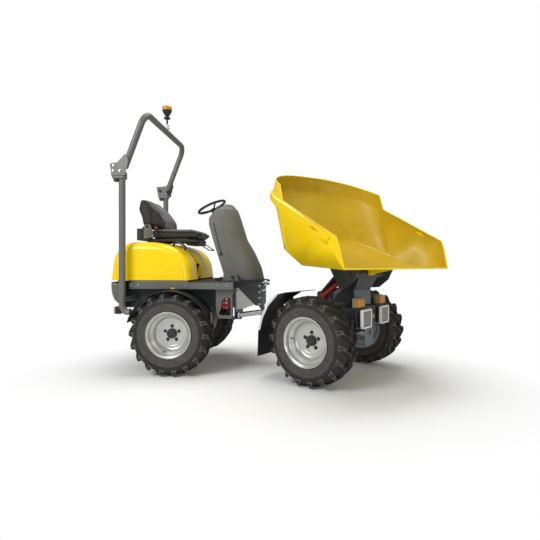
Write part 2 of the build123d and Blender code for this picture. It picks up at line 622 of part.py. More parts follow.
with BuildPart() as steering_column:
    rod(tuple(WHEEL_CENTRE - COLUMN_AXIS * (COLUMN_DEPTH - 1)),
        tuple(WHEEL_CENTRE - COLUMN_AXIS * (60 + SEAT_GAP)), COLUMN_RADIUS)
finish(steering_column, "steering_column", REAR)

with BuildPart() as steering_wheel:
    rim_plane = Plane(origin=WHEEL_CENTRE, x_dir=(0, 1, 0), z_dir=COLUMN_AXIS)
    with Locations(rim_plane.location):
        Torus(WHEEL_RADIUS, 13)
    rod(tuple(WHEEL_CENTRE - COLUMN_AXIS * 60), tuple(WHEEL_CENTRE - COLUMN_AXIS * 20), COLUMN_RADIUS + 2)
    for turn in (90, 210, 330):
        out = rim_plane.x_dir * cos(radians(turn)) + rim_plane.y_dir * sin(radians(turn))
        rod(tuple(WHEEL_CENTRE - COLUMN_AXIS * 38), tuple(WHEEL_CENTRE + out * (WHEEL_RADIUS - 1)), 8)
finish(steering_wheel, "steering_wheel", REAR)

with BuildPart() as pedals:
    for y in (-285.0, 215.0):
        side_plate([(-800, DECK_TOP + SEAT_GAP), (-740, DECK_TOP + SEAT_GAP), (-700, 960), (-712, 966),
                    (-780, 900)], y, y + 70)
finish(pedals, "pedals", REAR)

# ================================================================ front chassis
FRONT_BOTTOM = 505.0
FRONT_TOP = 640.0
with BuildPart() as front_frame:
    box(150, 840, -150, 150, FRONT_BOTTOM, FRONT_TOP)
    # neck that drops to the articulation lug
    box(60, 260, -60, 60, KNUCKLE_LOW + KNUCKLE_PLATE + KNUCKLE_GAP, FRONT_TOP)
    with BuildSketch(Plane.XY.offset(KNUCKLE_LOW + KNUCKLE_PLATE + KNUCKLE_GAP)):
        Circle(KNUCKLE_RADIUS)
        with Locations((60, 0)):
            Rectangle(120, 120)
    extrude(amount=KNUCKLE_HIGH - KNUCKLE_LOW - 2 * KNUCKLE_PLATE - 2 * KNUCKLE_GAP)
    rod((0, 0, KNUCKLE_LOW), (0, 0, KNUCKLE_HIGH), PIVOT_PIN_RADIUS + RUNNING_FIT, mode=Mode.SUBTRACT)
    box(-200, 130, -200, 200, KNUCKLE_HIGH - KNUCKLE_PLATE - KNUCKLE_GAP, FRONT_TOP + 20, mode=Mode.SUBTRACT)
    # towing plate below the lamps
    box(832, 840, -70, 40, 300, FRONT_BOTTOM)
    box(825, 845, -30, 0, 400, 440, mode=Mode.SUBTRACT)
    # saddle blocks down to the axle
    for y in (-BEAM_OUTER_Y, BEAM_INNER_Y):
        box(FRONT_AXLE_X - 70, FRONT_AXLE_X + 70, y, y + 40, 560, 600)
    box(FRONT_AXLE_X - 70, FRONT_AXLE_X + 70, -BEAM_OUTER_Y, BEAM_OUTER_Y, 560, 600)
    # lug under the rod eye of the steering cylinder
    box(75, 165, -215, -140, FRONT_BOTTOM + 45, FRONT_BOTTOM + 57)
finish(front_frame, "front_frame", FRONT)

axle("front_axle", FRONT, FRONT_AXLE_X, 560)

with BuildPart() as slew_base:
    with BuildSketch(Plane.XY.offset(FRONT_TOP + SEAT_GAP)):
        with Locations((FRONT_AXLE_X, 0)):
            Circle(190)
            Circle(120, mode=Mode.SUBTRACT)
    extrude(amount=24.0)
finish(slew_base, "slew_base", FRONT)

# front mudguards: rear flap, rounded shoulder and flat top, on one stay each
with BuildPart() as front_fenders:
    for side in (1, -1):
        y0, y1 = sorted((side * 372, side * 650))
        x = FRONT_AXLE_X
        side_plate([(x - 506, 197), (x - 497, 430), (x - 462, 560), (x - 395, 680), (x - 300, 770),
                    (x - 190, 796), (x - 57, 811), (x - 57, 806), (x - 189, 791), (x - 297, 765),
                    (x - 391, 677), (x - 457, 558), (x - 492, 429), (x - 501, 197)], y0, y1)
        stay = sorted((side * (150 + SEAT_GAP), side * 376))
        box(x - 392, x - 300, stay[0], stay[1], 610, 626)
        side_plate([(x - 392, 610), (x - 300, 610), (x - 300, 768), (x - 397, 678)],
                   *sorted((side * 368, side * 374)))
finish(front_fenders, "front_fenders", FRONT)

with BuildPart() as lamp_bracket:
    box(842, 850, -290, 290, 480, 660)
    box(FRONT_AXLE_X + 296 + SEAT_GAP, 842, -60, 60, 520, 620)
finish(lamp_bracket, "lamp_bracket", FRONT)

with BuildPart() as headlamps:
    for side in (1, -1):
        box(850 + SEAT_GAP, 905, side * 100, side * 285, 484, 648)
finish(headlamps, "headlamps", FRONT)

with BuildPart() as indicators:
    for side in (1, -1):
        box(800, 870, side * 160, side * 285, 660 + SEAT_GAP, 745)
finish(indicators, "indicators", FRONT)

# ================================================================ slewing frame under the skip
SLEW_RING = 24.0
SLEW_BOTTOM = FRONT_TOP + SLEW_RING + 2 * SEAT_GAP
TIP_FOOT = (-290.0, 735.0)
RIB_HALF_WIDTH = 30.0
RIB_GAP = 8.0
with BuildPart() as slew_column:
    rod((0, 0, FRONT_TOP + 2), (0, 0, SLEW_BOTTOM + 5), 120 - RUNNING_FIT)
    with BuildSketch(Plane.XY.offset(SLEW_BOTTOM)):
        Circle(185)
    extrude(amount=18)
    with BuildSketch(Plane.XY.offset(SLEW_BOTTOM + 17)):
        with Locations((90, 0)):
            Rectangle(240, 150)
    with BuildSketch(Plane.XY.offset(925)):
        with Locations((325, 0)):
            Rectangle(90, 220)
    loft()
    # slot that takes the skip's centre rib when the skip lies level
    box(0, SKIP_PIN_X - 40, -RIB_HALF_WIDTH - RIB_GAP, RIB_HALF_WIDTH + RIB_GAP, SKIP_PIN_Z - 90, SKIP_PIN_Z,
        mode=Mode.SUBTRACT)
    rod((SKIP_PIN_X, -150, SKIP_PIN_Z), (SKIP_PIN_X, 150, SKIP_PIN_Z), 34)
    rod((SKIP_PIN_X, -151, SKIP_PIN_Z), (SKIP_PIN_X, 151, SKIP_PIN_Z), SKIP_PIN_RADIUS + RUNNING_FIT,
        mode=Mode.SUBTRACT)
    # lugs for the foot of the tipping cylinder
    box(-300, 0, -50, 50, SLEW_BOTTOM, SLEW_BOTTOM + 18)
    for side in (1, -1):
        side_plate([(-330, 690), (-330, 745), (-290, 765), (-250, 745), (-230, 680), (-250, 670), (-300, 670)],
                   side * 41 - 6, side * 41 + 6)
    rod((TIP_FOOT[0], -46, TIP_FOOT[1]), (TIP_FOOT[0], 46, TIP_FOOT[1]), PIN_RADIUS)
finish(slew_column, "slew_column", SLEW)

with BuildPart() as safety_prop:
    side_plate([(-115, 735), (-90, 708), (222, 884), (206, 912)], -172, -146)
    box(-120, -60, -172, -146, SLEW_BOTTOM + 18 + SEAT_GAP, 735)
finish(safety_prop, "safety_prop", SLEW)

# ================================================================ skip
# plan outlines of the tub: (height, rear x, half width, rear corner radius)
SKIP_SECTIONS = [(SKIP_FLOOR, -330.0, SKIP_HALF_WIDTH, 320.0),
                 (SKIP_SIDE_TOP, SKIP_REAR_X, SKIP_HALF_WIDTH, 538.0)]
SKIP_FRONT_X = 800.0
# side outline, from the rear top round by the floor to the lip: (x, z)
LIP = (673.0, 1157.6)
FLOOR_FRONT = (235.5, SKIP_FLOOR)
CHEEK = [(567.0, 1284.0), (503.0, 1342.0)]
STEP = [(-308.0, SKIP_SIDE_TOP), (-426.5, SKIP_GUARD_TOP)]


def tub_plan(height, rear_x, y, r):
    """Plan of the tub at a height: rear wall, half width y, rear corners of radius r, square at the front."""
    with BuildSketch(Plane.XY.offset(height)) as plan:
        with BuildLine():
            Line((SKIP_FRONT_X, -y), (rear_x + r, -y))
            JernArc((rear_x + r, -y), (-1, 0), r, -90)
            Line((rear_x, -y + r), (rear_x, y - r))
            JernArc((rear_x, y - r), (0, 1), r, -90)
            Line((rear_x + r, y), (SKIP_FRONT_X, y))
            Line((SKIP_FRONT_X, y), (SKIP_FRONT_X, -y))
        make_face()
    return plan.sketch


def tub(inset):
    """The tub as a solid block, inset from the outer skin, its sides drawn in towards the lip."""
    with BuildPart() as block:
        loft([tub_plan(height, rear_x + inset, half_width - inset, corner - inset)
              for height, rear_x, half_width, corner in SKIP_SECTIONS], ruled=True)
        top = block.faces().sort_by(Axis.Z)[-1]
        extrude(top, amount=SKIP_GUARD_TOP - SKIP_SIDE_TOP + 40)
        for side in (1, -1):
            y = side * (SKIP_HALF_WIDTH - inset)
            front_y = y - side * LIP_DRAFT * (SKIP_FRONT_X + 1 - FLOOR_FRONT[0])
            with BuildSketch(Plane.XY.offset(SKIP_FLOOR - 1)) as wedge:
                with BuildLine():
                    Polyline((FLOOR_FRONT[0], y), (SKIP_FRONT_X + 1, front_y), (SKIP_FRONT_X + 1, y + side),
                             (FLOOR_FRONT[0], y + side), close=True)
                make_face()
            extrude(wedge.sketch, amount=600, mode=Mode.SUBTRACT)
    return block.part


def stiffener():
    """A solid block out to the face of the band that runs round the tub under its rim."""
    base = SKIP_SIDE_TOP - BAND_HEIGHT
    rear_x, half_width, corner = SKIP_SECTIONS[1][1:]
    with BuildPart() as block:
        loft([tub_plan(base - 38, rear_wall_x(base - 38) + 1, half_width - 1, corner - 80),
              tub_plan(base, rear_x - BAND_PROUD, half_width + BAND_PROUD, corner + BAND_PROUD),
              tub_plan(SKIP_SIDE_TOP - 10, rear_x - BAND_PROUD, half_width + BAND_PROUD, corner + BAND_PROUD),
              tub_plan(SKIP_SIDE_TOP, rear_x - 1, half_width + 1, corner)], ruled=True)
        box(BAND_FRONT_X, SKIP_FRONT_X + 10, -800, 800, SKIP_FLOOR, SKIP_SIDE_TOP + 10, mode=Mode.SUBTRACT)
    return block.part


def rear_wall_x(height):
    """Where the sloping rear wall stands at a height."""
    low, high = SKIP_SECTIONS
    return low[1] + (high[1] - low[1]) * (height - low[0]) / (high[0] - low[0])


LIP_DRAFT = LIP_TAPER / (LIP[0] - FLOOR_FRONT[0])
BAND_FRONT_X = CHEEK[1][0] - 60
outer_block = tub(0)
inner_block = tub(SKIP_WALL)
with BuildPart() as skip:
    add(outer_block)
    add(stiffener())
    side_plate([(-1000, SKIP_FLOOR), FLOOR_FRONT, LIP, *CHEEK, *STEP, (-1000, SKIP_GUARD_TOP)], -700, 700,
               mode=Mode.INTERSECT)
    with BuildPart(mode=Mode.PRIVATE) as hollow:
        add(inner_block)
        side_plate([(-1000, SKIP_FLOOR + SKIP_WALL), (FLOOR_FRONT[0], SKIP_FLOOR + SKIP_WALL),
                    (LIP[0], LIP[1] + SKIP_WALL), (SKIP_FRONT_X + 5, LIP[1] + SKIP_WALL + 50),
                    (SKIP_FRONT_X + 5, 1600), (-1000, 1600)], -700, 700, mode=Mode.INTERSECT)
    add(hollow.part, mode=Mode.SUBTRACT)
    # centre rib under the sloping floor
    side_plate([(70, SKIP_FLOOR + 2), (250, 905), (308, 925), (318, 965), (335, 990), (360, 998), (385, 990),
                (402, 962), (425, 990), (600, 1122), (600, 1132), (235, SKIP_FLOOR + 2)],
               -RIB_HALF_WIDTH, RIB_HALF_WIDTH)
finish(skip, "skip", TIPPED)

with BuildPart() as skip_brackets:
    for side in (1, -1):
        side_plate([(40, SKIP_FLOOR - SEAT_GAP), (84, 876), (289, 770), (362, 814), (430, 930), (440, 1040),
                    (400, 1040), (FLOOR_FRONT[0], SKIP_FLOOR - SEAT_GAP)],
                   side * 196 - 6, side * 196 + 6)
    rod((SKIP_PIN_X, -215, SKIP_PIN_Z), (SKIP_PIN_X, 215, SKIP_PIN_Z), SKIP_PIN_RADIUS)
    for side in (1, -1):
        side_plate([(30, SKIP_FLOOR - SEAT_GAP), (60, 880), (110, 880), (150, SKIP_FLOOR - SEAT_GAP)],
                   side * 44 - 6, side * 44 + 6)
finish(skip_brackets, "skip_brackets", TIPPED)

# ================================================================ cylinders
TIP_EYE_LEVEL = (84.0, 905.0)


def turned(point, centre, angle):
    """A point of the XZ plane turned about a centre, nose down for a positive angle."""
    dx, dz = point[0] - centre[0], point[1] - centre[1]
    c, s = cos(radians(angle)), sin(radians(angle))
    return centre[0] + dx * c + dz * s, centre[1] - dx * s + dz * c


TIP_EYE = turned(TIP_EYE_LEVEL, (SKIP_PIN_X, SKIP_PIN_Z), TIP_ANGLE)


def along(point, axis, distance):
    """The point at a distance from another along an axis."""
    return tuple(Vector(*point) + Vector(*axis) * distance)


def cylinder(start, end, barrel_length, rod_length, barrel_radius, rod_radius, across, names, frame):
    """A ram between two 3D points: barrel with its foot eye, and rod with its eye."""
    axis = (Vector(*end) - Vector(*start)).normalized()
    bore = rod_radius + RUNNING_FIT
    with BuildPart() as barrel:
        rod(along(start, axis, EYE_RADIUS / 2), along(start, axis, barrel_length), barrel_radius)
        rod(along(start, across, -EYE_RADIUS), along(start, across, EYE_RADIUS), EYE_RADIUS)
        rod(along(start, axis, barrel_length - GLAND), along(start, axis, barrel_length + 1), bore,
            mode=Mode.SUBTRACT)
        rod(along(start, across, -EYE_RADIUS - 1), along(start, across, EYE_RADIUS + 1), PIN_RADIUS + RUNNING_FIT,
            mode=Mode.SUBTRACT)
        rod(along(start, axis, EYE_RADIUS + BARREL_BASE), along(start, axis, barrel_length - GLAND + 5),
            barrel_radius - BARREL_WALL, mode=Mode.SUBTRACT)
    finish(barrel, names[0], frame)
    with BuildPart() as ram:
        rod(along(end, axis, -rod_length), tuple(end), rod_radius)
        rod(along(end, across, -EYE_RADIUS), along(end, across, EYE_RADIUS), EYE_RADIUS)
        rod(along(end, across, -EYE_RADIUS - 1), along(end, across, EYE_RADIUS + 1), PIN_RADIUS + RUNNING_FIT,
            mode=Mode.SUBTRACT)
    finish(ram, names[1], frame)


cylinder((TIP_FOOT[0], 0, TIP_FOOT[1]), (TIP_EYE[0], 0, TIP_EYE[1]), TIP_BARREL_LENGTH, TIP_ROD_LENGTH,
         TIP_BARREL_RADIUS, TIP_ROD_RADIUS, (0, 1, 0), ("tip_cylinder_barrel", "tip_cylinder_rod"), SLEW)


def swung(point, angle):
    """A point turned about the vertical articulation axis."""
    c, s = cos(radians(angle)), sin(radians(angle))
    return point[0] * c - point[1] * s, point[0] * s + point[1] * c, point[2]


cylinder(STEER_FOOT, swung(STEER_EYE, STEER_ANGLE), STEER_BARREL_LENGTH, STEER_ROD_LENGTH, STEER_BARREL_RADIUS,
         STEER_ROD_RADIUS, (0, 0, 1), ("steering_cylinder_barrel", "steering_cylinder_rod"), REAR)
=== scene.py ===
"""Articulated site dumper with a swivelling front-tipping skip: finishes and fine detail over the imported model."""

import json
from math import cos, exp, pi, radians, sin

import bmesh
import bpy
from mathutils import Matrix, Vector


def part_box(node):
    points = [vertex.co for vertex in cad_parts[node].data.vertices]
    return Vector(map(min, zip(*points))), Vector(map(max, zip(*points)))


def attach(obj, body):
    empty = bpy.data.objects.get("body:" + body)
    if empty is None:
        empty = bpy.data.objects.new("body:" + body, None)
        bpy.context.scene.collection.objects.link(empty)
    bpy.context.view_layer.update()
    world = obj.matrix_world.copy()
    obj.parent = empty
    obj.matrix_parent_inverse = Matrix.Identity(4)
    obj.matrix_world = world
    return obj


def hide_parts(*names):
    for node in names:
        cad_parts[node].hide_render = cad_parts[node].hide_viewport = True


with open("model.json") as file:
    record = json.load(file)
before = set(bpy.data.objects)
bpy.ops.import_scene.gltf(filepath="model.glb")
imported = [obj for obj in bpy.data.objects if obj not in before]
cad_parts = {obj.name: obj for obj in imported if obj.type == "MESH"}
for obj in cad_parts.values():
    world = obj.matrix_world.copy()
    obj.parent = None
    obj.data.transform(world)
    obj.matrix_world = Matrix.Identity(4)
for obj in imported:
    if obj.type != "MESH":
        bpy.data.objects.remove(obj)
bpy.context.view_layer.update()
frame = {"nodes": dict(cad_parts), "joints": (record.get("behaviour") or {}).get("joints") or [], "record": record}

NODES = frame["nodes"]
JOINTS = {joint["name"]: joint for joint in frame["joints"]}
BODY_OF = {node: body for body, members in frame["record"]["behaviour"]["bodies"].items() for node in members}
SLOT_OF = {part["node"]: part["material_slot"] for part in frame["record"]["subparts"]}

# ------------------------ where each chassis stands
# Each frame has its origin on the ground, x forward, y to the left and z up, as the machine is parked.


def stand(joint, sideways):
    """The frame on the ground under a joint, whose y axis is the given direction."""
    x, y, _ = JOINTS[joint]["pos_m"]
    left = Vector(sideways).normalized()
    turn = Matrix((Vector((left.y, -left.x, 0)), left, Vector((0, 0, 1)))).transposed()
    return Matrix.Translation((x, y, 0)) @ turn.to_4x4()


REAR = stand("steering", (0, 1, 0))
FRONT = stand("steering", JOINTS["wheel_front_left_spin"]["axis"])
SLEW = stand("skip_slew", JOINTS["skip_tip"]["axis"])
TIP_ANGLE = radians(26)
SKIP_PIN = SLEW.inverted() @ Vector(JOINTS["skip_tip"]["pos_m"])
SKIP = SLEW @ Matrix.Translation(SKIP_PIN) @ Matrix.Rotation(TIP_ANGLE, 4, "Y") @ Matrix.Translation(-SKIP_PIN)
SIDES = ((-1, "right"), (1, "left"))

# ------------------------ materials


def linear(code):
    """An sRGB hex colour as the linear colour that shaders take."""
    channels = [int(code[i:i + 2], 16) / 255 for i in (0, 2, 4)]
    return (*(c / 12.92 if c <= 0.04045 else ((c + 0.055) / 1.055) ** 2.4 for c in channels), 1.0)


def add(tree, kind, settings=(), links=()):
    """Add a node; settings are its properties or input values, links are (input, source socket)."""
    node = tree.nodes.new("ShaderNode" + kind)
    for key, value in dict(settings).items():
        if isinstance(key, str) and hasattr(node, key):
            setattr(node, key, value)
        else:
            node.inputs[key].default_value = value
    for key, source in links:
        tree.links.new(source, node.inputs[key])
    return node


def surface(name):
    """A new material with an empty tree, and its Principled shader wired to the output."""
    material = bpy.data.materials.new(name)
    material.use_nodes = True
    tree = material.node_tree
    tree.nodes.clear()
    shader = add(tree, "BsdfPrincipled")
    add(tree, "OutputMaterial", links=[("Surface", shader.outputs[0])])
    return material, tree, shader


def mottled(tree, shader, place, pale, dark, grain):
    """Base colour that drifts between two close shades in patches of the given size in metres."""
    noise = add(tree, "TexNoise", {"Scale": 1 / grain, "Detail": 4.0, "Roughness": 0.6}, [("Vector", place)])
    ramp = add(tree, "ValToRGB", links=[("Fac", noise.outputs["Fac"])])
    low, high = ramp.color_ramp.elements
    low.position, high.position = 0.25, 0.75
    low.color, high.color = linear(dark), linear(pale)
    tree.links.new(ramp.outputs["Color"], shader.inputs["Base Color"])


def pitted(tree, shader, place, grain, depth):
    """Fine relief of the given grain and depth, both in metres."""
    noise = add(tree, "TexNoise", {"Scale": 1 / grain, "Detail": 2.0}, [("Vector", place)])
    bump = add(tree, "Bump", {"Distance": depth, "Strength": 1.0}, [("Height", noise.outputs["Fac"])])
    tree.links.new(bump.outputs["Normal"], shader.inputs["Normal"])


def roughened(tree, shader, place, grain, smooth, dull):
    """Roughness that drifts between two values in patches of the given size."""
    noise = add(tree, "TexNoise", {"Scale": 1 / grain, "Detail": 3.0}, [("Vector", place)])
    spread = add(tree, "MapRange", {"From Min": 0.35, "From Max": 0.65, "To Min": smooth, "To Max": dull},
                 [("Value", noise.outputs["Fac"])])
    tree.links.new(spread.outputs["Result"], shader.inputs["Roughness"])


def coating(name, pale, dark, grain, smooth, dull, peel, depth, **sockets):
    """A finish of one colour with its drift, roughness and relief; sockets set the shader's other inputs."""
    material, tree, shader = surface(name)
    place = add(tree, "TexCoord").outputs["Object"]
    mottled(tree, shader, place, pale, dark, grain)
    roughened(tree, shader, place, grain * 0.6, smooth, dull)
    pitted(tree, shader, place, peel, depth)
    for socket, value in sockets.items():
        shader.inputs[socket.replace("_", " ")].default_value = value
    return material


# Sprayed two-pack enamel: deep gloss with a faint orange peel, here 6 mm wide so that it shows.
yellow_enamel = coating("yellow enamel", "FCD804", "F6CE02", 0.35, 0.24, 0.36, 0.006, 0.00006,
                        Coat_Weight=0.2, Coat_Roughness=0.1, Specular_IOR_Level=0.35)
# The inside of the tub, the same enamel dulled by loads and dust, and darkened further as painted shade for the shade
# that falls inside the tub.
dusty_shaded_enamel = coating("yellow enamel with dust and painted shade", "C9A60C", "B8960F", 0.22, 0.34, 0.52, 0.006, 0.00008,
                         Specular_IOR_Level=0.4)
# Epoxy powder coat baked on steel: an even satin with a fine pebble, here 3 mm wide.
grey_powder_coat = coating("grey powder coat", "676763", "5D5D59", 0.3, 0.38, 0.48, 0.003, 0.00005)
# The same coat in a darker blue-grey on the chassis frames.
dark_powder_coat = coating("dark grey powder coat", "424549", "383B3E", 0.3, 0.4, 0.5, 0.003, 0.00005)
# Black chassis paint, satin and slightly dusty.
black_chassis_paint = coating("black chassis paint", "262729", "1C1D1F", 0.2, 0.42, 0.6, 0.004, 0.00008)
# Aluminium-flake wheel enamel: soft metallic sheen, no mirror.
silver_wheel_enamel = coating("silver wheel enamel", "C8C8C4", "B8B8B4", 0.06, 0.28, 0.38, 0.004, 0.00001,
                              Metallic=0.55)
# Vulcanised rubber out of the mould: dull black, slightly brown.
tyre_rubber = coating("tyre rubber", "232120", "191817", 0.12, 0.55, 0.78, 0.005, 0.00015)
# The side wall's smooth ring, which carries a brownish grey bloom in patches, and is painted lighter than the tread as
# painted light where the side wall faces the lamps.
bloom_and_lit_rubber = coating("side wall rubber with bloom and painted light", "4F4B46", "36332F", 0.05, 0.6, 0.8, 0.004, 0.0002)
# Edges of the lugs, painted pale as a highlight where they catch the light.
lug_highlight_rubber = coating("lug edges painted as highlights", "6F6B65", "54504B", 0.03, 0.6, 0.8, 0.004, 0.0001)
# Injection-moulded polypropylene with a spark-eroded grain.
black_polypropylene = coating("black polypropylene", "1D1D1F", "161618", 0.1, 0.4, 0.52, 0.002, 0.00006)
# Rotomoulded polyethylene: waxy, with the mould's orange peel, here 8 mm wide.
grey_polyethylene = coating("grey rotomoulded polyethylene", "6C6B65", "605F59", 0.25, 0.46, 0.6, 0.008, 0.00015)
# Woven upholstery, warm grey: a plain weave of 2 mm threads, drawn 4 mm wide so that it shows.
seat_cloth = coating("warm grey seat cloth", "605C58", "524E4A", 0.06, 0.8, 0.92, 0.004, 0.0004, Sheen_Weight=0.3)
# Grained vinyl over foam.
seat_vinyl = coating("black seat vinyl", "1F1E1C", "181716", 0.08, 0.46, 0.58, 0.0035, 0.0002)
# Zinc-plated bolts and chromed rods.
plated_steel = coating("plated steel", "C6C8CA", "AEB0B2", 0.05, 0.2, 0.34, 0.002, 0.00001, Metallic=1.0)
# Red enamel on the safety prop, the belt's button and the caps: semi-gloss.
red_enamel = coating("red enamel", "B8362E", "A52E28", 0.1, 0.3, 0.42, 0.004, 0.00005, Coat_Weight=0.2)
# Painted casting: sand-mould texture under black paint.
painted_casting = coating("painted iron casting", "303133", "232426", 0.08, 0.5, 0.68, 0.004, 0.0004)
# Moulded ABS, white and smooth, with the faint waviness of a thin wall.
white_plastic = coating("white moulded plastic", "E4E5E2", "D9DAD7", 0.1, 0.3, 0.42, 0.004, 0.00002)
# The same in tan, dulled by weather.
tan_plastic = coating("tan moulded plastic", "8F866B", "7F775E", 0.05, 0.4, 0.5, 0.003, 0.00003)
# Pressed glass over a bright reflector.
lamp_glass = coating("pressed lamp glass", "C6C8C1", "B2B4AD", 0.02, 0.22, 0.3, 0.008, 0.00001,
                     Metallic=0.2, Coat_Weight=0.6, Coat_Roughness=0.05)
# Sheet steel in a pale grey enamel.
pale_enamel = coating("pale grey enamel", "DCDDDA", "CFD0CD", 0.1, 0.35, 0.45, 0.004, 0.00003)
# Blue-grey paint on the slewing column's front plate.
blue_grey_paint = coating("blue-grey chassis paint", "5F6A70", "566066", 0.1, 0.4, 0.5, 0.003, 0.00004)
# Moulded acrylic lens: glossy, and a little light passes through it.
amber_acrylic = coating("amber acrylic", "E39A2C", "D4821C", 0.03, 0.1, 0.18, 0.01, 0.00003, Transmission_Weight=0.2)
# The same acrylic faded by the sun, on the tail lamps.
faded_acrylic = coating("faded amber acrylic", "E0B070", "D2A061", 0.03, 0.12, 0.2, 0.01, 0.00003)

SLOT_MATERIAL = {
    "yellow_paint": yellow_enamel, "grey_paint": grey_powder_coat, "black_paint": black_chassis_paint,
    "silver_paint": silver_wheel_enamel, "tyre": tyre_rubber, "console_plastic": grey_polyethylene,
    "black_plastic": black_polypropylene, "seat_vinyl": seat_vinyl, "amber": amber_acrylic,
    "lamp": white_plastic, "steel": plated_steel, "red_paint": red_enamel, "cast": painted_casting,
}
NODE_MATERIAL = {name: SLOT_MATERIAL[SLOT_OF[name]] for name in NODES}
NODE_MATERIAL.update(dict.fromkeys(
    ["rear_frame", "front_frame", "slew_column", "skip_brackets", "lamp_bracket"], dark_powder_coat))
for name, node in NODES.items():
    node.data.materials.clear()
    node.data.materials.append(NODE_MATERIAL[name])

# ======================== pieces
# Sizes are in metres, in the frame of the chassis that carries the piece.


def finished(name, bm, material, body, place=None, replaces=(), crease=30):
    """Stand a shape in its frame, close it, and make it a piece that rides on a body."""
    if place is not None:
        bmesh.ops.transform(bm, matrix=place, verts=bm.verts)
    bmesh.ops.remove_doubles(bm, verts=bm.verts, dist=1e-5)
    bmesh.ops.recalc_face_normals(bm, faces=bm.faces)
    mesh = bpy.data.meshes.new(name)
    bm.to_mesh(mesh)
    bm.free()
    mesh.shade_smooth()
    mesh.set_sharp_from_angle(angle=radians(crease))
    mesh.materials.append(material)
    piece = bpy.data.objects.new(name, mesh)
    bpy.context.scene.collection.objects.link(piece)
    piece.modifiers.new("even normals", "WEIGHTED_NORMAL").keep_sharp = True
    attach(piece, body)
    if replaces:
        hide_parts(*replaces)
    return piece


def round_edges(bm, radius, angle=30, segments=2, slot=-1):
    """Round every edge that turns by more than the given angle; the new faces may take another material slot."""
    sharp = [edge for edge in bm.edges if len(edge.link_faces) == 2 and edge.calc_face_angle() > radians(angle)]
    bmesh.ops.bevel(bm, geom=sharp, offset=radius, offset_type="OFFSET", segments=segments, profile=0.5,
                    affect="EDGES", clamp_overlap=False, material=slot)


def softened(node, radius):
    """A CAD node with its sharp edges rounded, standing for the node."""
    bm = bmesh.new()
    bm.from_mesh(NODES[node].data)
    bmesh.ops.remove_doubles(bm, verts=bm.verts, dist=2e-5)
    bmesh.ops.dissolve_limit(bm, angle_limit=radians(0.8), verts=bm.verts, edges=bm.edges)
    round_edges(bm, radius)
    finished(f"{node}_body", bm, NODE_MATERIAL[node], BODY_OF[node], replaces=[node])


def block(bm, low, high, radius=0.0, segments=2):
    """A box between two corners, with its edges rounded."""
    low, high = Vector(low), Vector(high)
    scale = Matrix.Diagonal((*(high - low), 1))
    made = bmesh.ops.create_cube(bm, size=1, matrix=Matrix.Translation((low + high) / 2) @ scale)["verts"]
    if radius:
        edges = list({edge for vert in made for edge in vert.link_edges})
        bmesh.ops.bevel(bm, geom=edges, offset=radius, segments=segments, profile=0.5, affect="EDGES",
                        clamp_overlap=True, material=-1)
    return made


def bar(bm, start, end, radius, sides=24, round_by=0.0):
    """A round bar between two points, with the edges of its ends rounded."""
    start, end = Vector(start), Vector(end)
    turn = (end - start).to_track_quat("Z", "Y").to_matrix().to_4x4()
    made = bmesh.ops.create_cone(bm, cap_ends=True, segments=sides, radius1=radius, radius2=radius,
                                 depth=(end - start).length,
                                 matrix=Matrix.Translation((start + end) / 2) @ turn)["verts"]
    if round_by:
        rims = {edge for vert in made for edge in vert.link_edges
                if any(len(face.verts) > 4 for face in edge.link_faces)}
        bmesh.ops.bevel(bm, geom=list(rims), offset=round_by, segments=2, profile=0.5, affect="EDGES",
                        clamp_overlap=True, material=-1)


def thickened(bm, faces, depth):
    """Draw flat faces out along y."""
    made = bmesh.ops.extrude_face_region(bm, geom=faces)["geom"]
    bmesh.ops.translate(bm, vec=(0, depth, 0), verts=[item for item in made if isinstance(item, bmesh.types.BMVert)])


def plate(bm, outline, y0, y1, edge=0.0):
    """A plate with its outline in the XZ plane, from y0 to y1, its edges rounded."""
    thickened(bm, [bm.faces.new([bm.verts.new((x, y0, z)) for x, z in outline])], y1 - y0)
    if edge:
        round_edges(bm, edge, 40)


def lathe(bm, section, steps, closed=True, axis=(0, 1, 0), across=(0, 0, 1)):
    """Spin a section of (radius, height along the axis) points right round the axis."""
    axis, across = Vector(axis), Vector(across)
    verts = [bm.verts.new(across * radius + axis * height) for radius, height in section]
    edges = [bm.edges.new(pair) for pair in zip(verts, verts[1:])]
    if closed:
        edges.append(bm.edges.new((verts[-1], verts[0])))
    bmesh.ops.spin(bm, geom=verts + edges, cent=(0, 0, 0), axis=axis, angle=2 * pi, steps=steps, use_merge=True)


def pipe(name, points, radius, material, body, place, order=2, sides=6):
    """A bent rod or pipe through points, as a mesh."""
    data = bpy.data.curves.new(name, "CURVE")
    data.dimensions = "3D"
    data.bevel_depth = radius
    data.bevel_resolution = sides
    data.use_fill_caps = True
    line = data.splines.new("NURBS" if order > 2 else "POLY")
    line.points.add(len(points) - 1)
    for point, at in zip(line.points, points):
        point.co = (*at, 1)
    if order > 2:
        line.order_u = order
        line.use_endpoint_u = True
        line.resolution_u = 8
    holder = bpy.data.objects.new(name, data)
    bm = bmesh.new()
    bm.from_mesh(bpy.data.meshes.new_from_object(holder))
    bpy.data.objects.remove(holder)
    finished(name, bm, material, body, place, crease=50)


# ------------------------ tyres
TYRE_RADIUS = 0.3845
TRACK = 1.034
AXLE_X = {"rear": -1.144, "front": 0.544}
LUGS = 18
# the side wall's smooth ring lies inside this radius and outboard of this y; there it is painted lighter: a bloom, and
# painted light
LIT_BLOOM_RADIUS = 0.290
WALL_Y = 0.11
# the lugs' edges are painted pale as highlights only on the shoulder: below this radius and outboard of this y
HIGHLIGHT_RADIUS = 0.380
SHOULDER_Y = 0.098
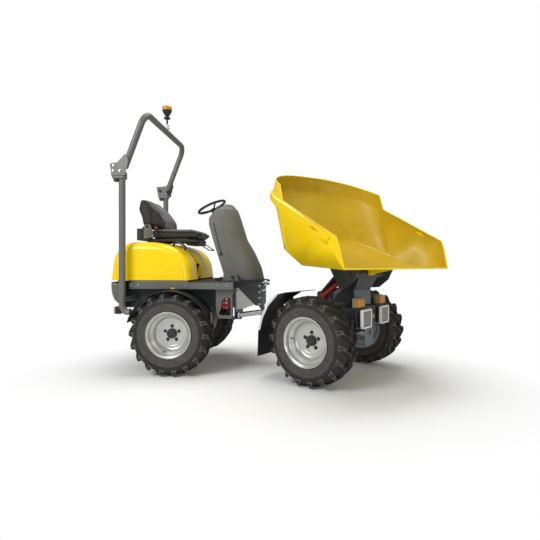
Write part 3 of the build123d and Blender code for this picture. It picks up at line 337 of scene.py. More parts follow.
# half section of the carcass from crown to bead: (radius, y), with the mould's rings on the side wall
CARCASS = [(0.3625, 0.0), (0.3615, 0.045), (0.358, 0.078), (0.350, 0.102), (0.340, 0.115), (0.327, 0.1235),
           (0.312, 0.129), (0.3095, 0.1308), (0.304, 0.1308), (0.3025, 0.1295), (0.290, 0.1312), (0.275, 0.1300),
           (0.262, 0.1270), (0.2605, 0.1282), (0.2565, 0.1275), (0.255, 0.1248), (0.244, 0.1215), (0.234, 0.1185),
           (0.2275, 0.1190), (0.2235, 0.1170), (0.2195, 0.1135), (0.2165, 0.1060)]
# stations along one lug, from just past the crown's middle to its foot on the side wall:
# (top radius, top y, base radius, base y, top width, base width, lag in degrees)
LUG_STATIONS = [
    (0.3838, -0.014, 0.3600, -0.010, 0.030, 0.052, 15.0),
    (0.3843, 0.012, 0.3600, 0.012, 0.031, 0.053, 12.4),
    (0.3843, 0.042, 0.3590, 0.042, 0.030, 0.052, 9.0),
    (0.3838, 0.072, 0.3560, 0.070, 0.029, 0.050, 5.6),
    (0.3820, 0.098, 0.3480, 0.094, 0.027, 0.048, 2.6),
    (0.3765, 0.1165, 0.3400, 0.1080, 0.025, 0.046, 0.9),
    (0.3640, 0.1255, 0.3330, 0.1150, 0.026, 0.048, 0.1),
    (0.3440, 0.1305, 0.3270, 0.1200, 0.036, 0.053, 0.0),
    (0.3285, 0.1315, 0.3200, 0.1240, 0.046, 0.057, 0.0),
]


def lug(bm):
    """One tread bar: a block drawn out along its stations and wrapped onto the carcass."""
    verts = bmesh.ops.create_cube(bm, size=1)["verts"]
    long_edges = [edge for edge in bm.edges if abs(edge.verts[0].co.y - edge.verts[1].co.y) > 0.5]
    bmesh.ops.subdivide_edges(bm, edges=long_edges, cuts=len(LUG_STATIONS) - 2, use_grid_fill=True)
    last = len(LUG_STATIONS) - 1
    for vert in bm.verts:
        top_r, top_y, base_r, base_y, top_w, base_w, lag = LUG_STATIONS[round((vert.co.y + 0.5) * last)]
        upper = vert.co.z > 0
        radius, y, width = (top_r, top_y, top_w) if upper else (base_r, base_y, base_w)
        angle = vert.co.x * width / radius - radians(lag)
        vert.co = (radius * cos(angle), y, radius * sin(angle))
    bmesh.ops.recalc_face_normals(bm, faces=bm.faces)
    # the rounded edges take slot 2, the painted highlight
    round_edges(bm, 0.0038, 24, slot=2)


def tyre(corner, place):
    """A carcass with two rows of bars, each row half a bar's step from the other."""
    bm = bmesh.new()
    lathe(bm, CARCASS + [(radius, -y) for radius, y in reversed(CARCASS[1:])], 108)
    for row, phase in ((1, 0.0), (-1, pi / LUGS)):
        bars = bmesh.new()
        lug(bars)
        bmesh.ops.spin(bars, geom=bars.verts[:] + bars.edges[:] + bars.faces[:], cent=(0, 0, 0), axis=(0, 1, 0),
                       angle=2 * pi * (LUGS - 1) / LUGS, steps=LUGS - 1, use_duplicate=True)
        bmesh.ops.transform(bars, matrix=Matrix.Diagonal((1, row, 1, 1)) @ Matrix.Rotation(phase, 4, "Y"),
                            verts=bars.verts)
        mesh = bpy.data.meshes.new("bars")
        bars.to_mesh(mesh)
        bars.free()
        bm.from_mesh(mesh)
        bpy.data.meshes.remove(mesh)
    for face in bm.faces:
        middle = face.calc_center_median()
        radius = Vector((middle.x, 0, middle.z)).length
        # the smooth ring takes slot 1: bloom, and painted light
        if radius < LIT_BLOOM_RADIUS and abs(middle.y) > WALL_Y:
            face.material_index = 1
        # on the crown the rounded edges go back to plain rubber, so the painted highlight stays on the shoulder
        elif radius > HIGHLIGHT_RADIUS or abs(middle.y) < SHOULDER_Y:
            face.material_index = 0
    tread = finished(f"tyre_tread_{corner}", bm, tyre_rubber, f"wheel_{corner}", place, [f"tyre_{corner}"], 28)
    tread.data.materials.append(bloom_and_lit_rubber)
    tread.data.materials.append(lug_highlight_rubber)


# ------------------------ rims
# closed section, outboard lip to hub on the outside and back on the inside: (radius, y)
RIM_SECTION = [(0.2170, 0.1180), (0.2160, 0.1220), (0.2120, 0.1222), (0.2060, 0.1130), (0.1960, 0.1080),
               (0.1905, 0.0800), (0.1850, 0.0740), (0.1660, 0.0580), (0.1620, 0.0520), (0.1590, 0.0240),
               (0.1500, 0.0130), (0.1380, 0.0075), (0.1180, 0.0070), (0.1120, 0.0040), (0.0460, 0.0040),
               (0.0460, -0.0060), (0.1140, -0.0060), (0.1500, 0.0050), (0.1540, -0.0600), (0.1840, -0.0820),
               (0.1880, -0.1080), (0.2100, -0.1220), (0.2170, -0.1220), (0.2170, -0.1170), (0.1960, -0.1040),
               (0.1920, -0.0780), (0.1660, -0.0560), (0.1680, 0.0500), (0.1920, 0.0780), (0.1960, 0.1030)]
NUTS = 5
NUT_CIRCLE = 0.070
# where each wheel came to a stop: its valve's turn in degrees
VALVE_TURN = {"rear_right": 30, "front_right": -45, "rear_left": 75, "front_left": 140}


def rim(corner, place):
    """A wheel's steel: the pressed shell, its nuts, the hub's cap and the valve."""
    body = f"wheel_{corner}"
    bm = bmesh.new()
    lathe(bm, RIM_SECTION, 96)
    round_edges(bm, 0.0016, 16)
    finished(f"rim_shell_{corner}", bm, silver_wheel_enamel, body, place, [f"rim_{corner}"], 35)
    nuts = bmesh.new()
    for k in range(NUTS):
        angle = radians(90 + 360 / NUTS * k)
        x, z = NUT_CIRCLE * cos(angle), NUT_CIRCLE * sin(angle)
        bar(nuts, (x, 0.003, z), (x, 0.006, z), 0.0165, sides=20)
        bar(nuts, (x, 0.005, z), (x, 0.019, z), 0.0118, sides=6, round_by=0.0012)
        bar(nuts, (x, 0.018, z), (x, 0.025, z), 0.0065, sides=14, round_by=0.001)
    finished(f"wheel_nuts_{corner}", nuts, painted_casting, body, place)
    cap = bmesh.new()
    lathe(cap, [(0.0, 0.028), (0.024, 0.028), (0.027, 0.0255), (0.036, 0.0255), (0.0405, 0.030), (0.0440, 0.026),
                (0.0455, 0.003), (0.0460, -0.040), (0.0600, -0.042), (0.0600, -0.056), (0.0, -0.056)], 40, closed=False)
    finished(f"hub_{corner}", cap, painted_casting, body, place)
    valve = bmesh.new()
    bar(valve, (-0.128, 0.030, -0.116), (-0.124, 0.066, -0.112), 0.0052, sides=12)
    bar(valve, (-0.124, 0.066, -0.112), (-0.1235, 0.076, -0.1115), 0.0068, sides=12, round_by=0.001)
    bar(valve, (-0.1370, 0.026, -0.1240), (-0.126, 0.034, -0.1135), 0.0165, sides=20, round_by=0.002)
    finished(f"valve_{corner}", valve, black_polypropylene, body,
             place @ Matrix.Rotation(radians(-VALVE_TURN[corner]), 4, "Y"))


for end, frame_matrix in (("rear", REAR), ("front", FRONT)):
    for name, side in (("left", 1), ("right", -1)):
        hub = Matrix.Translation((AXLE_X[end], side * TRACK / 2, TYRE_RADIUS))
        place = frame_matrix @ hub @ Matrix.Diagonal((1, side, 1, 1))
        tyre(f"{end}_{name}", place)
        rim(f"{end}_{name}", place)

# ------------------------ steelwork straight from the model, edges rounded
for node, radius in (
        ("rear_frame", 0.003), ("side_rails", 0.004), ("front_frame", 0.003), ("slew_column", 0.003),
        ("slew_base", 0.003), ("skip_brackets", 0.002), ("safety_prop", 0.002), ("lamp_bracket", 0.0015),
        ("rear_fenders", 0.0015), ("front_fenders", 0.0015), ("rops_posts", 0.002), ("rops_hoop", 0.002),
        ("floor_plate", 0.0015), ("seat_base", 0.004), ("engine_block", 0.02), ("valve_block", 0.004),
        ("tow_hitch", 0.003), ("rear_axle", 0.003), ("front_axle", 0.003), ("control_levers", 0.002),
        ("steering_wheel", 0.002), ("hood", 0.004), ("steering_console", 0.014)):
    softened(node, radius)

# ------------------------ skip: enamel outside; inside, dulled by loads and dust and darkened as painted shade
# Seen from above the rim turns round RIM_CORNER at RIM_TURN; its sides draw in ahead of SIDE_FOLD_X.
TUB_MIDDLE = Vector((-0.1, 0, 1.35))
HALF_WIDTH = 0.625
RIM_CORNER = Vector((-0.362, 0.087))
RIM_TURN = 0.538
RIM_TOP = 1.476
SIDE_FOLD_X = 0.2355
SIDE_DRAFT = 0.1074
RIM_GAUGE = 0.003
# the band under the rim: its heights, how proud it stays at the back, what it loses forwards, and over what length
BAND_LOW, BAND_HIGH = 1.30, 1.35
BAND_SHARE, BAND_LOSS, BAND_LENGTH = 0.7, 0.66, 0.75


def side_wall(x):
    """Half width of the tub at the given x."""
    return HALF_WIDTH - SIDE_DRAFT * max(0.0, x - SIDE_FOLD_X)


def skip_tub():
    """The modelled tub with a slimmer band that fades out towards the front, and its inside dusty and darkened as
    painted shade.
    """
    bm = bmesh.new()
    bm.from_mesh(NODES["skip"].data)
    bmesh.ops.remove_doubles(bm, verts=bm.verts, dist=2e-5)
    bmesh.ops.transform(bm, matrix=SKIP.inverted(), verts=bm.verts)
    for vert in bm.verts:
        x, y, z = vert.co
        if BAND_LOW < z < BAND_HIGH:
            side = 1 if y > 0 else -1
            centre = Vector((max(x, RIM_CORNER.x), side * min(abs(y), RIM_CORNER.y)))
            out = Vector((x, y)) - centre
            wall = RIM_TURN if x < RIM_CORNER.x else side_wall(x) - RIM_CORNER.y
            if out.length > wall + 0.005:
                share = BAND_SHARE - BAND_LOSS * min(max((x - RIM_CORNER.x) / BAND_LENGTH, 0), 1)
                out = out.normalized() * (wall + (out.length - wall) * share)
                vert.co.x, vert.co.y = centre.x + out.x, centre.y + out.y
    # faces that look into the tub take the darker enamel: dust, and painted shade
    for face in bm.faces:
        if face.normal.dot(TUB_MIDDLE - face.calc_center_median()) > 0:
            face.material_index = 1
    bmesh.ops.transform(bm, matrix=SKIP, verts=bm.verts)
    tub = finished("skip_tub", bm, yellow_enamel, "skip", replaces=["skip"], crease=24)
    tub.data.materials.append(dusty_shaded_enamel)


skip_tub()
half_rim = [(x, RIM_GAUGE - side_wall(x), z)
            for x, z in ((0.671, 1.163), (0.567, 1.287), (0.503, 1.345), (-0.308, 1.358))]
lip = [half_rim[0], (half_rim[0][0], -half_rim[0][1], half_rim[0][2])]
half_rim.append((-0.4265, -0.6155, RIM_TOP))
for degrees in range(12, 91, 6):
    reach, angle = RIM_TURN - RIM_GAUGE, radians(degrees)
    half_rim.append((RIM_CORNER.x - reach * sin(angle), -RIM_CORNER.y - reach * cos(angle), RIM_TOP))
pipe("skip_rim", half_rim + [(x, -y, z) for x, y, z in reversed(half_rim)], 0.0052, yellow_enamel, "skip",
     SKIP, sides=3)
pipe("skip_lip", lip, 0.0065, yellow_enamel, "skip", SKIP, sides=3)

# ------------------------ fastenings


def bolts(name, places, across, body, place, axis=(0, -1, 0), material=None):
    """Hexagon heads on washers at the given points, their heads along the axis."""
    bm = bmesh.new()
    axis = Vector(axis)
    for at in places:
        at = Vector(at)
        bar(bm, at, at + axis * across * 0.14, across * 0.62, sides=20)
        bar(bm, at, at + axis * across * 0.55, across * 0.5, sides=6, round_by=across * 0.05)
    finished(name, bm, material or plated_steel, body, place)


def shape(name, draw, material, body, place, replaces=(), crease=30):
    """A piece whose shape the given function draws into an empty bmesh."""
    bm = bmesh.new()
    draw(bm)
    finished(name, bm, material, body, place, replaces, crease)


def windowed_plate(bm, rings, y0, y1):
    """A plate in the XZ plane: the first ring is its outline and the rest are windows."""
    edges = []
    for ring in rings:
        verts = [bm.verts.new((x, y0, z)) for x, z in ring]
        edges += [bm.edges.new(pair) for pair in zip(verts, verts[1:] + verts[:1])]
    filled = bmesh.ops.triangle_fill(bm, edges=edges, use_beauty=True, use_dissolve=False)["geom"]
    thickened(bm, [item for item in filled if isinstance(item, bmesh.types.BMFace)], y1 - y0)


def framed_box(bm, low, high, width, depth, corner=0.01):
    """A box whose front, towards +x, has a raised frame of the given width round a sunk panel."""
    made = block(bm, low, high)
    upright = [edge for vert in made for edge in vert.link_edges
               if abs(edge.verts[0].co.x - edge.verts[1].co.x) > 1e-4]
    bmesh.ops.bevel(bm, geom=list(set(upright)), offset=corner, segments=4, profile=0.5, affect="EDGES", material=-1)
    face = max(bm.faces, key=lambda one: one.calc_center_median().x * (one.normal.x > 0.9))
    bmesh.ops.inset_region(bm, faces=[face], thickness=width, depth=0, use_even_offset=True)
    bmesh.ops.inset_region(bm, faces=[face], thickness=0.0015, depth=-depth, use_even_offset=True)
    round_edges(bm, 0.0015, 40)


# ------------------------ lamps at the front
FLUTE = 0.009
for side, name in SIDES:
    y0, y1 = sorted((side * 0.100, side * 0.285))
    shape(f"headlamp_body_{name}",
          lambda bm: block(bm, (0.8503, y0 + 0.006, 0.492), (0.888, y1 - 0.006, 0.640), 0.012, 3),
          black_polypropylene, "front_chassis", FRONT)
    shape(f"headlamp_bezel_{name}",
          lambda bm: framed_box(bm, (0.882, y0, 0.484), (0.905, y1, 0.648), 0.017, 0.009, 0.016),
          white_plastic, "front_chassis", FRONT, ["headlamps"] if side < 0 else ())
    shape(f"headlamp_rim_{name}",
          lambda bm: framed_box(bm, (0.894, y0 + 0.0175, 0.5015), (0.9005, y1 - 0.0175, 0.6305), 0.006, 0.0035, 0.007),
          black_polypropylene, "front_chassis", FRONT)

    def glass(bm):
        """A lens with upright flutes."""
        width, height = y1 - y0 - 0.047, 0.117
        made = bmesh.ops.create_grid(bm, x_segments=96, y_segments=1, size=0.5)["verts"]
        for vert in made:
            u, v = vert.co.x, vert.co.y
            wave = 0.0016 * abs(sin(pi * u * width / FLUTE))
            vert.co = (0.8985 + wave, (y0 + y1) / 2 + u * width, 0.566 + v * height)
        bmesh.ops.solidify(bm, geom=bm.faces[:], thickness=-0.003)

    shape(f"headlamp_glass_{name}", glass, lamp_glass, "front_chassis", FRONT, crease=60)
    y0, y1 = sorted((side * 0.160, side * 0.285))
    shape(f"indicator_body_{name}", lambda bm: block(bm, (0.8, y0, 0.6603), (0.848, y1, 0.745), 0.009, 3),
          tan_plastic, "front_chassis", FRONT, ["indicators"] if side < 0 else ())
    shape(f"indicator_lens_{name}",
          lambda bm: block(bm, (0.8455, y0 + 0.004, 0.664), (0.870, y1 - 0.004, 0.741), 0.011, 4),
          amber_acrylic, "front_chassis", FRONT)
    bolts(f"indicator_screws_{name}", [(0.870, y, 0.702) for y in (y0 + 0.016, y1 - 0.016)], 0.009, "front_chassis",
          FRONT, (1, 0, 0))

shape("front_socket", lambda bm: (bar(bm, (0.846, 0.012, 0.566), (0.868, 0.012, 0.566), 0.024, round_by=0.003),
                                  bar(bm, (0.866, 0.012, 0.566), (0.874, 0.012, 0.566), 0.012, round_by=0.002)),
      amber_acrylic, "front_chassis", FRONT)
bolts("lamp_plate_bolts", [(0.850, y, z) for y in (-0.07, 0.07) for z in (0.505, 0.630)], 0.017, "front_chassis",
      FRONT, (1, 0, 0))

# ------------------------ tail lamps
for side, name in SIDES:
    y0, y1 = sorted((side * 0.470, side * 0.530))

    def tail_body(bm):
        block(bm, (-1.706, y0, 0.560), (-1.650, y1, 0.632), 0.008, 3)
        block(bm, (-1.660, y0 + 0.010, 0.570), (-1.652, y1 - 0.010, 0.712), 0.002)
        block(bm, (-1.660, y0 + 0.010, 0.692), (-1.6345, y1 - 0.010, 0.712), 0.002)

    shape(f"tail_lamp_{name}", tail_body, black_polypropylene, "rear_chassis", REAR,
          ["rear_lights"] if side < 0 else ())
    shape(f"tail_lens_{name}",
          lambda bm: block(bm, (-1.722, y0 + 0.003, 0.563), (-1.703, y1 - 0.003, 0.629), 0.009, 4),
          faded_acrylic, "rear_chassis", REAR)

# ------------------------ beacon on the roll bar
BEACON = REAR @ Matrix.Translation((-1.385, 0, 2.4923))
UP = {"axis": (0, 0, 1), "across": (1, 0, 0)}
shape("beacon_lens", lambda bm: lathe(bm, [
    (0, 0.208), (0.0505, 0.208), (0.0515, 0.212), (0.0515, 0.234), (0.0495, 0.243), (0.0440, 0.2505), (0.0330, 0.2555),
    (0.0180, 0.2572), (0, 0.2575)], 48, False, **UP),
      amber_acrylic, "rops_hoop", BEACON, ["beacon"])
shape("beacon_cup", lambda bm: lathe(bm, [
    (0, 0.136), (0.0150, 0.136), (0.0190, 0.146), (0.0380, 0.178), (0.0450, 0.192), (0.0480, 0.200), (0.0505, 0.202),
    (0.0505, 0.2085), (0, 0.2085)], 48, False, **UP),
      black_polypropylene, "rops_hoop", BEACON)
shape("beacon_stem", lambda bm: (bar(bm, (0, 0, 0.04), (0, 0, 0.14), 0.010),
                                 lathe(bm, [(0, 0.120), (0.034, 0.120), (0.035, 0.124), (0.035, 0.130),
                                            (0.030, 0.134), (0, 0.134)], 32, False, **UP)),
      black_polypropylene, "rops_hoop", BEACON)
shape("beacon_socket", lambda bm: (bar(bm, (0, 0, -0.001), (0, 0, 0.056), 0.0155, round_by=0.002),
                                   block(bm, (-0.014, -0.014, 0.012), (0.030, 0.014, 0.020), 0.002),
                                   block(bm, (-0.014, -0.014, 0.038), (0.030, 0.014, 0.046), 0.002)),
      pale_enamel, "rops_hoop", BEACON)

# ------------------------ seat: foam under cloth and vinyl
CLOTH_FRAMES = 20
VOXEL = 0.006
SWELL_CAP = 0.011
RING_STEPS = 20


def evaluated(holder):
    """The mesh of an object with its modifiers applied."""
    return bpy.data.meshes.new_from_object(holder.evaluated_get(bpy.context.evaluated_depsgraph_get()))


def stuffed(name, node, shrink):
    """A foam form: the node's shape made smaller, meshed evenly and blown up under its cover, then smoothed."""
    bm = bmesh.new()
    bm.from_mesh(NODES[node].data)
    bmesh.ops.remove_doubles(bm, verts=bm.verts, dist=2e-5)
    low, high = (Vector(corner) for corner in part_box(node))
    middle, halves = (low + high) / 2, (high - low) / 2
    for vert in bm.verts:
        vert.co = middle + Vector((d * (1 - shrink / half) for d, half in zip(vert.co - middle, halves)))
    mesh = bpy.data.meshes.new(name)
    bm.to_mesh(mesh)
    bm.free()
    holder = bpy.data.objects.new(name, mesh)
    bpy.context.scene.collection.objects.link(holder)
    even = holder.modifiers.new("even mesh", "REMESH")
    even.mode = "VOXEL"
    even.voxel_size = VOXEL
    cells = evaluated(holder)
    holder.modifiers.clear()
    holder.data = cells
    start = [vert.co.copy() for vert in cells.vertices]
    cover = holder.modifiers.new("cover", "CLOTH")
    cover.settings.use_pressure = True
    cover.settings.uniform_pressure_force = 4
    cover.settings.quality = 5
    cover.settings.effector_weights.gravity = 0
    cover.point_cache.frame_start, cover.point_cache.frame_end = 1, CLOTH_FRAMES
    for number in range(1, CLOTH_FRAMES + 1):
        bpy.context.scene.frame_set(number)
    swollen = evaluated(holder)
    for vert, was in zip(swollen.vertices, start):
        move = vert.co - was
        if move.length > SWELL_CAP:
            vert.co = was + move.normalized() * SWELL_CAP
    holder.modifiers.clear()
    holder.data = swollen
    bpy.context.scene.frame_set(1)
    smooth = holder.modifiers.new("smooth", "SUBSURF")
    smooth.levels = smooth.render_levels = 1
    bm = bmesh.new()
    bm.from_mesh(evaluated(holder))
    bpy.data.objects.remove(holder)
    return bm


def stitched(bm, lines, depth, width, place):
    """Push the cover in (or out, for a piping) along lines of points in the given frame."""
    inverse = place.inverted()
    turn = inverse.to_3x3()
    for vert in bm.verts:
        at = inverse @ vert.co
        facing = turn @ vert.normal
        near = None
        for line, side in lines:
            if side and facing.dot(Vector(side)) < 0.25:
                continue
            for a, b in zip(line, line[1:]):
                a, b = Vector(a), Vector(b)
                along = min(max((at - a).dot(b - a) / (b - a).length_squared, 0), 1)
                # depth into the foam doesn't count: the line is drawn on the cover
                off = at - (a + (b - a) * along)
                if side:
                    off = off - Vector(side) * off.dot(Vector(side))
                near = off.length if near is None else min(near, off.length)
        if near is not None and near < width * 2.5:
            vert.co += vert.normal * depth * exp(-((near / width) ** 2))


def upholstered(name, node, shrink, seams, pipings, cloth_faces):
    """A stuffed pad with its seams and pipings; the faces that cloth_faces picks are cloth and the rest vinyl."""
    bm = stuffed(name, node, shrink)
    bm.normal_update()
    stitched(bm, seams, -0.007, 0.007, REAR)
    bm.normal_update()
    stitched(bm, pipings, 0.009, 0.006, REAR)
    inverse = REAR.inverted()
    turn = inverse.to_3x3()
    for face in bm.faces:
        if cloth_faces(turn @ face.normal, inverse @ face.calc_center_median()):
            face.material_index = 1
    pad = finished(name, bm, seat_vinyl, BODY_OF[node], replaces=[node], crease=180)
    pad.data.materials.append(seat_cloth)


def ring(centre, long, short, lean, y):
    """An upright oval at one y, its long axis leaning from the vertical."""
    out = []
    for step in range(RING_STEPS + 1):
        angle = 2 * pi * step / RING_STEPS
        u, v = long * cos(angle), short * sin(angle)
        out.append((centre[0] + u * sin(lean) + v * cos(lean), y, centre[1] + u * cos(lean) - v * sin(lean)))
    return out


TOP, FRONT_FACE = (0, 0, 1), (1, 0, 0)
cushion_seams = [([(-1.45, y, 1.39), (-1.10, y, 1.39)], TOP) for y in (-0.125, 0.125)]
cushion_seams += [([(x, -y, 1.39), (x, y, 1.39)], TOP) for x, y in ((-1.10, 0.20), (-1.28, 0.125))]
cushion_pipes = [([(x, side * 0.225, z) for x, z in ((-1.46, 1.372), (-1.02, 1.366), (-0.975, 1.348))], (0, side, 0))
                 for side in (-1, 1)]
cushion_pipes += [([(-0.955, -0.205, 1.352), (-0.955, 0.205, 1.352)], FRONT_FACE)]
upholstered("cushion", "seat_cushion", 0.009, cushion_seams, cushion_pipes,
            lambda facing, at: facing.z > 0.55 and abs(at.y) < 0.215)

backrest_seams = [([(-1.36, y, 1.45), (-1.40, y, 1.57), (-1.53, y, 1.69)], None) for y in (-0.10, 0.10)]
backrest_pipes = [(ring((-1.530, 1.566), 0.112, 0.046, radians(-16), side * 0.2), (0, side, 0)) for side in (-1, 1)]
backrest_edge = [(-1.345, 1.425), (-1.352, 1.480), (-1.425, 1.590), (-1.548, 1.690)]
backrest_pipes += [([(x, side * 0.2, z) for x, z in backrest_edge], (0, side, 0)) for side in (-1, 1)]
upholstered("backrest", "seat_backrest", 0.008, backrest_seams, backrest_pipes,
            lambda facing, at: facing.x > 0.2 and abs(at.y) < 0.187)

for side, name in SIDES:
    y0, y1 = sorted((side * 0.2115, side * 0.2155))
    shape(f"seat_bracket_{name}", lambda bm: plate(bm, [
        (-1.556, 1.300), (-1.452, 1.312), (-1.446, 1.330), (-1.482, 1.440), (-1.492, 1.448), (-1.540, 1.448),
        (-1.551, 1.438)], y0, y1, 0.0012),
          grey_powder_coat, "hood", REAR)
    bolts(f"seat_bracket_bolts_{name}", [(-1.464, side * 0.2155, 1.327), (-1.538, side * 0.2155, 1.318)], 0.014, "hood",
          REAR, (0, side, 0))
    bolts(f"seat_tilt_knob_{name}", [(-1.520, side * 0.2155, 1.426)], 0.020, "hood", REAR, (0, side, 0),
          black_polypropylene)
shape("belt_buckle", lambda bm: (block(bm, (-1.428, -0.250, 1.382), (-1.394, -0.234, 1.420), 0.005, 3),
                                 block(bm, (-1.420, -0.245, 1.312), (-1.404, -0.239, 1.388), 0.002)),
      black_polypropylene, "hood", REAR)
shape("buckle_button", lambda bm: block(bm, (-1.424, -0.2535, 1.400), (-1.398, -0.2485, 1.416), 0.002),
      red_enamel, "hood", REAR)
shape("seat_slide", lambda bm: (block(bm, (-1.500, -0.170, 1.262), (-1.105, 0.170, 1.300), 0.010, 3),
                                block(bm, (-1.130, -0.150, 1.232), (-0.992, 0.150, 1.299), 0.016, 3),
                                [block(bm, (-1.126, y - 0.010, 1.262), (-1.000, y + 0.010, 1.290), 0.005)
                                 for y in (-0.178, 0.178)]),
      black_polypropylene, "hood", REAR)
half_bar = [(-1.02, -0.135, 1.258), (-0.985, -0.135, 1.244), (-0.902, -0.135, 1.191), (-0.896, -0.120, 1.184)]
pipe("seat_slide_bar", half_bar + [(x, -y, z) for x, y, z in reversed(half_bar)], 0.0055, black_chassis_paint,
     "hood", REAR)
pipe("hood_strap", [
    (-1.172, -0.400, 1.216), (-1.160, -0.415, 1.240), (-1.130, -0.430, 1.258), (-1.057, -0.440, 1.220),
    (-1.030, -0.440, 1.193), (-1.052, -0.430, 1.172)], 0.010, black_polypropylene, "hood", REAR,
     order=3)

# ------------------------ console: side panels, black rods painted as the shade in its grooves, and fastenings
# (height, half width) from the foot to the top
CONSOLE_SIDE = [(0.870, 0.2), (1.150, 0.2), (1.290, 0.198), (1.440, 0.192), (1.510, 0.186), (1.600, 0.170),
                (1.662, 0.110)]


def console_side(z):
    """Half width of the console at a height."""
    for (z0, y0), (z1, y1) in zip(CONSOLE_SIDE, CONSOLE_SIDE[1:]):
        if z <= z1:
            return y0 + (y1 - y0) * max(0.0, z - z0) / (z1 - z0)
    return CONSOLE_SIDE[-1][1]


for side, name in SIDES:
    def panel(bm):
        """A proud panel that follows the console's side."""
        plate(bm, [(-0.694, 0.880), (-0.735, 1.000), (-0.783, 1.150), (-0.827, 1.290), (-0.864, 1.420), (-0.868, 1.490),
                   (-0.846, 1.545), (-0.800, 1.560), (-0.768, 1.530), (-0.738, 1.440), (-0.712, 1.300), (-0.674, 1.181),
                   (-0.620, 1.030), (-0.580, 0.945), (-0.569, 0.905), (-0.574, 0.880)], 0.0, 0.0045)
        for z, _ in CONSOLE_SIDE[1:-1]:
            bmesh.ops.bisect_plane(bm, geom=bm.verts[:] + bm.edges[:] + bm.faces[:], plane_co=(0, 0, z),
                                   plane_no=(0, 0, 1))
        round_edges(bm, 0.003, 50, 3)
        for vert in bm.verts:
            vert.co.y = side * (console_side(vert.co.z) - 0.001 + vert.co.y)

    shape(f"console_panel_{name}", panel, grey_polyethylene, "rear_chassis", REAR)
    # a black rod laid along the side where the groove runs: painted shade for the groove
    groove_shade_line = [(-0.824, 1.457), (-0.800, 1.360), (-0.772, 1.250), (-0.746, 1.151)]
    pipe(f"console_groove_shade_{name}", [(x, side * (console_side(z) + 0.0015), z) for x, z in groove_shade_line], 0.0055,
         black_polypropylene, "rear_chassis", REAR)
    bolts(f"console_bolts_{name}", [(-0.746, side * 0.2035, 1.140)], 0.026, "rear_chassis", REAR, (0, side, 0),
          black_polypropylene)
    y0, y1 = sorted((side * 0.2525, side * 0.2575))
    shape(f"eye_cheek_{name}", lambda bm: plate(bm, [
        (-0.704, 0.873), (-0.712, 0.925), (-0.702, 0.950), (-0.660, 0.953), (-0.610, 0.944), (-0.580, 0.926),
        (-0.562, 0.898), (-0.557, 0.873)], y0, y1, 0.0015),
          grey_polyethylene, "rear_chassis", REAR)
    bolts(f"eye_bolt_{name}", [(-0.614, side * 0.2575, 0.908)], 0.030, "rear_chassis", REAR, (0, side, 0),
          painted_casting)
COLUMN_TILT = radians(24.8)
BOOT_DEPTH = 0.150
shape("column_boot", lambda bm: lathe(bm, [
    (0.0, 0.0), (0.052, 0.0), (0.050, 0.012), (0.043, 0.016), (0.044, 0.024), (0.036, 0.029), (0.037, 0.038),
    (0.029, 0.044), (0.0, 0.044)], 32, False, **UP),
      black_polypropylene, "rear_chassis",
      REAR @ Matrix.Translation((-0.890 + BOOT_DEPTH * sin(COLUMN_TILT), 0, 1.648 - BOOT_DEPTH * cos(COLUMN_TILT)))
      @ Matrix.Rotation(-COLUMN_TILT, 4, "Y"))

# ------------------------ roll bar: hinge brackets and stops
for side, name in SIDES:
    y = side * 0.570
    y0, y1 = sorted((side * 0.6095, side * 0.6155))
    shape(f"hinge_plate_{name}", lambda bm: plate(bm, [
        (-1.700, 1.868), (-1.702, 1.975), (-1.694, 1.985), (-1.640, 1.990), (-1.566, 2.066), (-1.545, 2.056),
        (-1.530, 2.000), (-1.556, 1.905), (-1.560, 1.868)], y0, y1, 0.0015),
          grey_powder_coat, "rear_chassis", REAR)
    face = side * 0.6155
    bolts(f"hinge_bolts_{name}", [(-1.6745, face, 1.960), (-1.677, face, 1.912), (-1.613, face, 1.911)], 0.017,
          "rear_chassis", REAR, (0, side, 0))
    shape(f"hinge_stop_{name}", lambda bm: (block(bm, (-1.688, y - 0.026, 1.818), (-1.643, y + 0.026, 1.868), 0.006, 3),
                                            block(bm, (-1.680, y - 0.030, 1.836), (-1.645, y + 0.030, 1.846), 0.002)),
          black_polypropylene, "rear_chassis", REAR)
    shape(f"hinge_knob_{name}", lambda bm: [
        bar(bm, (-1.672, y - side * near, 1.935), (-1.672, y - side * far, 1.935), radius, round_by=0.002)
        for near, far, radius in ((0.046, 0.060, 0.012), (0.058, 0.064, 0.019))],
          black_polypropylene, "rear_chassis", REAR)
    bolts(f"post_foot_bolts_{name}", [(x, side * 0.601, 0.592) for x in (-1.560, -1.540)], 0.014, "rear_chassis", REAR,
          (0, side, 0))

# ------------------------ screens over the valves, fittings and rails
SCREEN = [(-0.745, 0.800), (-0.585, 0.800), (-0.585, 0.517), (-0.725, 0.517), (-0.745, 0.600)]
WINDOW = [(-0.668, 0.713), (-0.610, 0.716), (-0.602, 0.704), (-0.601, 0.562), (-0.610, 0.548), (-0.689, 0.547),
          (-0.712, 0.556), (-0.716, 0.572), (-0.702, 0.600), (-0.692, 0.641), (-0.687, 0.690)]


def screens(bm):
    for side in (1, -1):
        y0, y1 = sorted((side * 0.420, side * 0.428))
        windowed_plate(bm, [SCREEN, WINDOW], y0, y1)
        low, high = sorted((side * 0.2405, side * 0.421))
        block(bm, (-0.640, low, 0.7405), (-0.592, high, 0.7995), 0.003)
        low, high = sorted((side * 0.4205, side * 0.4595))
        block(bm, (-0.7445, low, 0.7905), (-0.5855, high, 0.7995), 0.002)


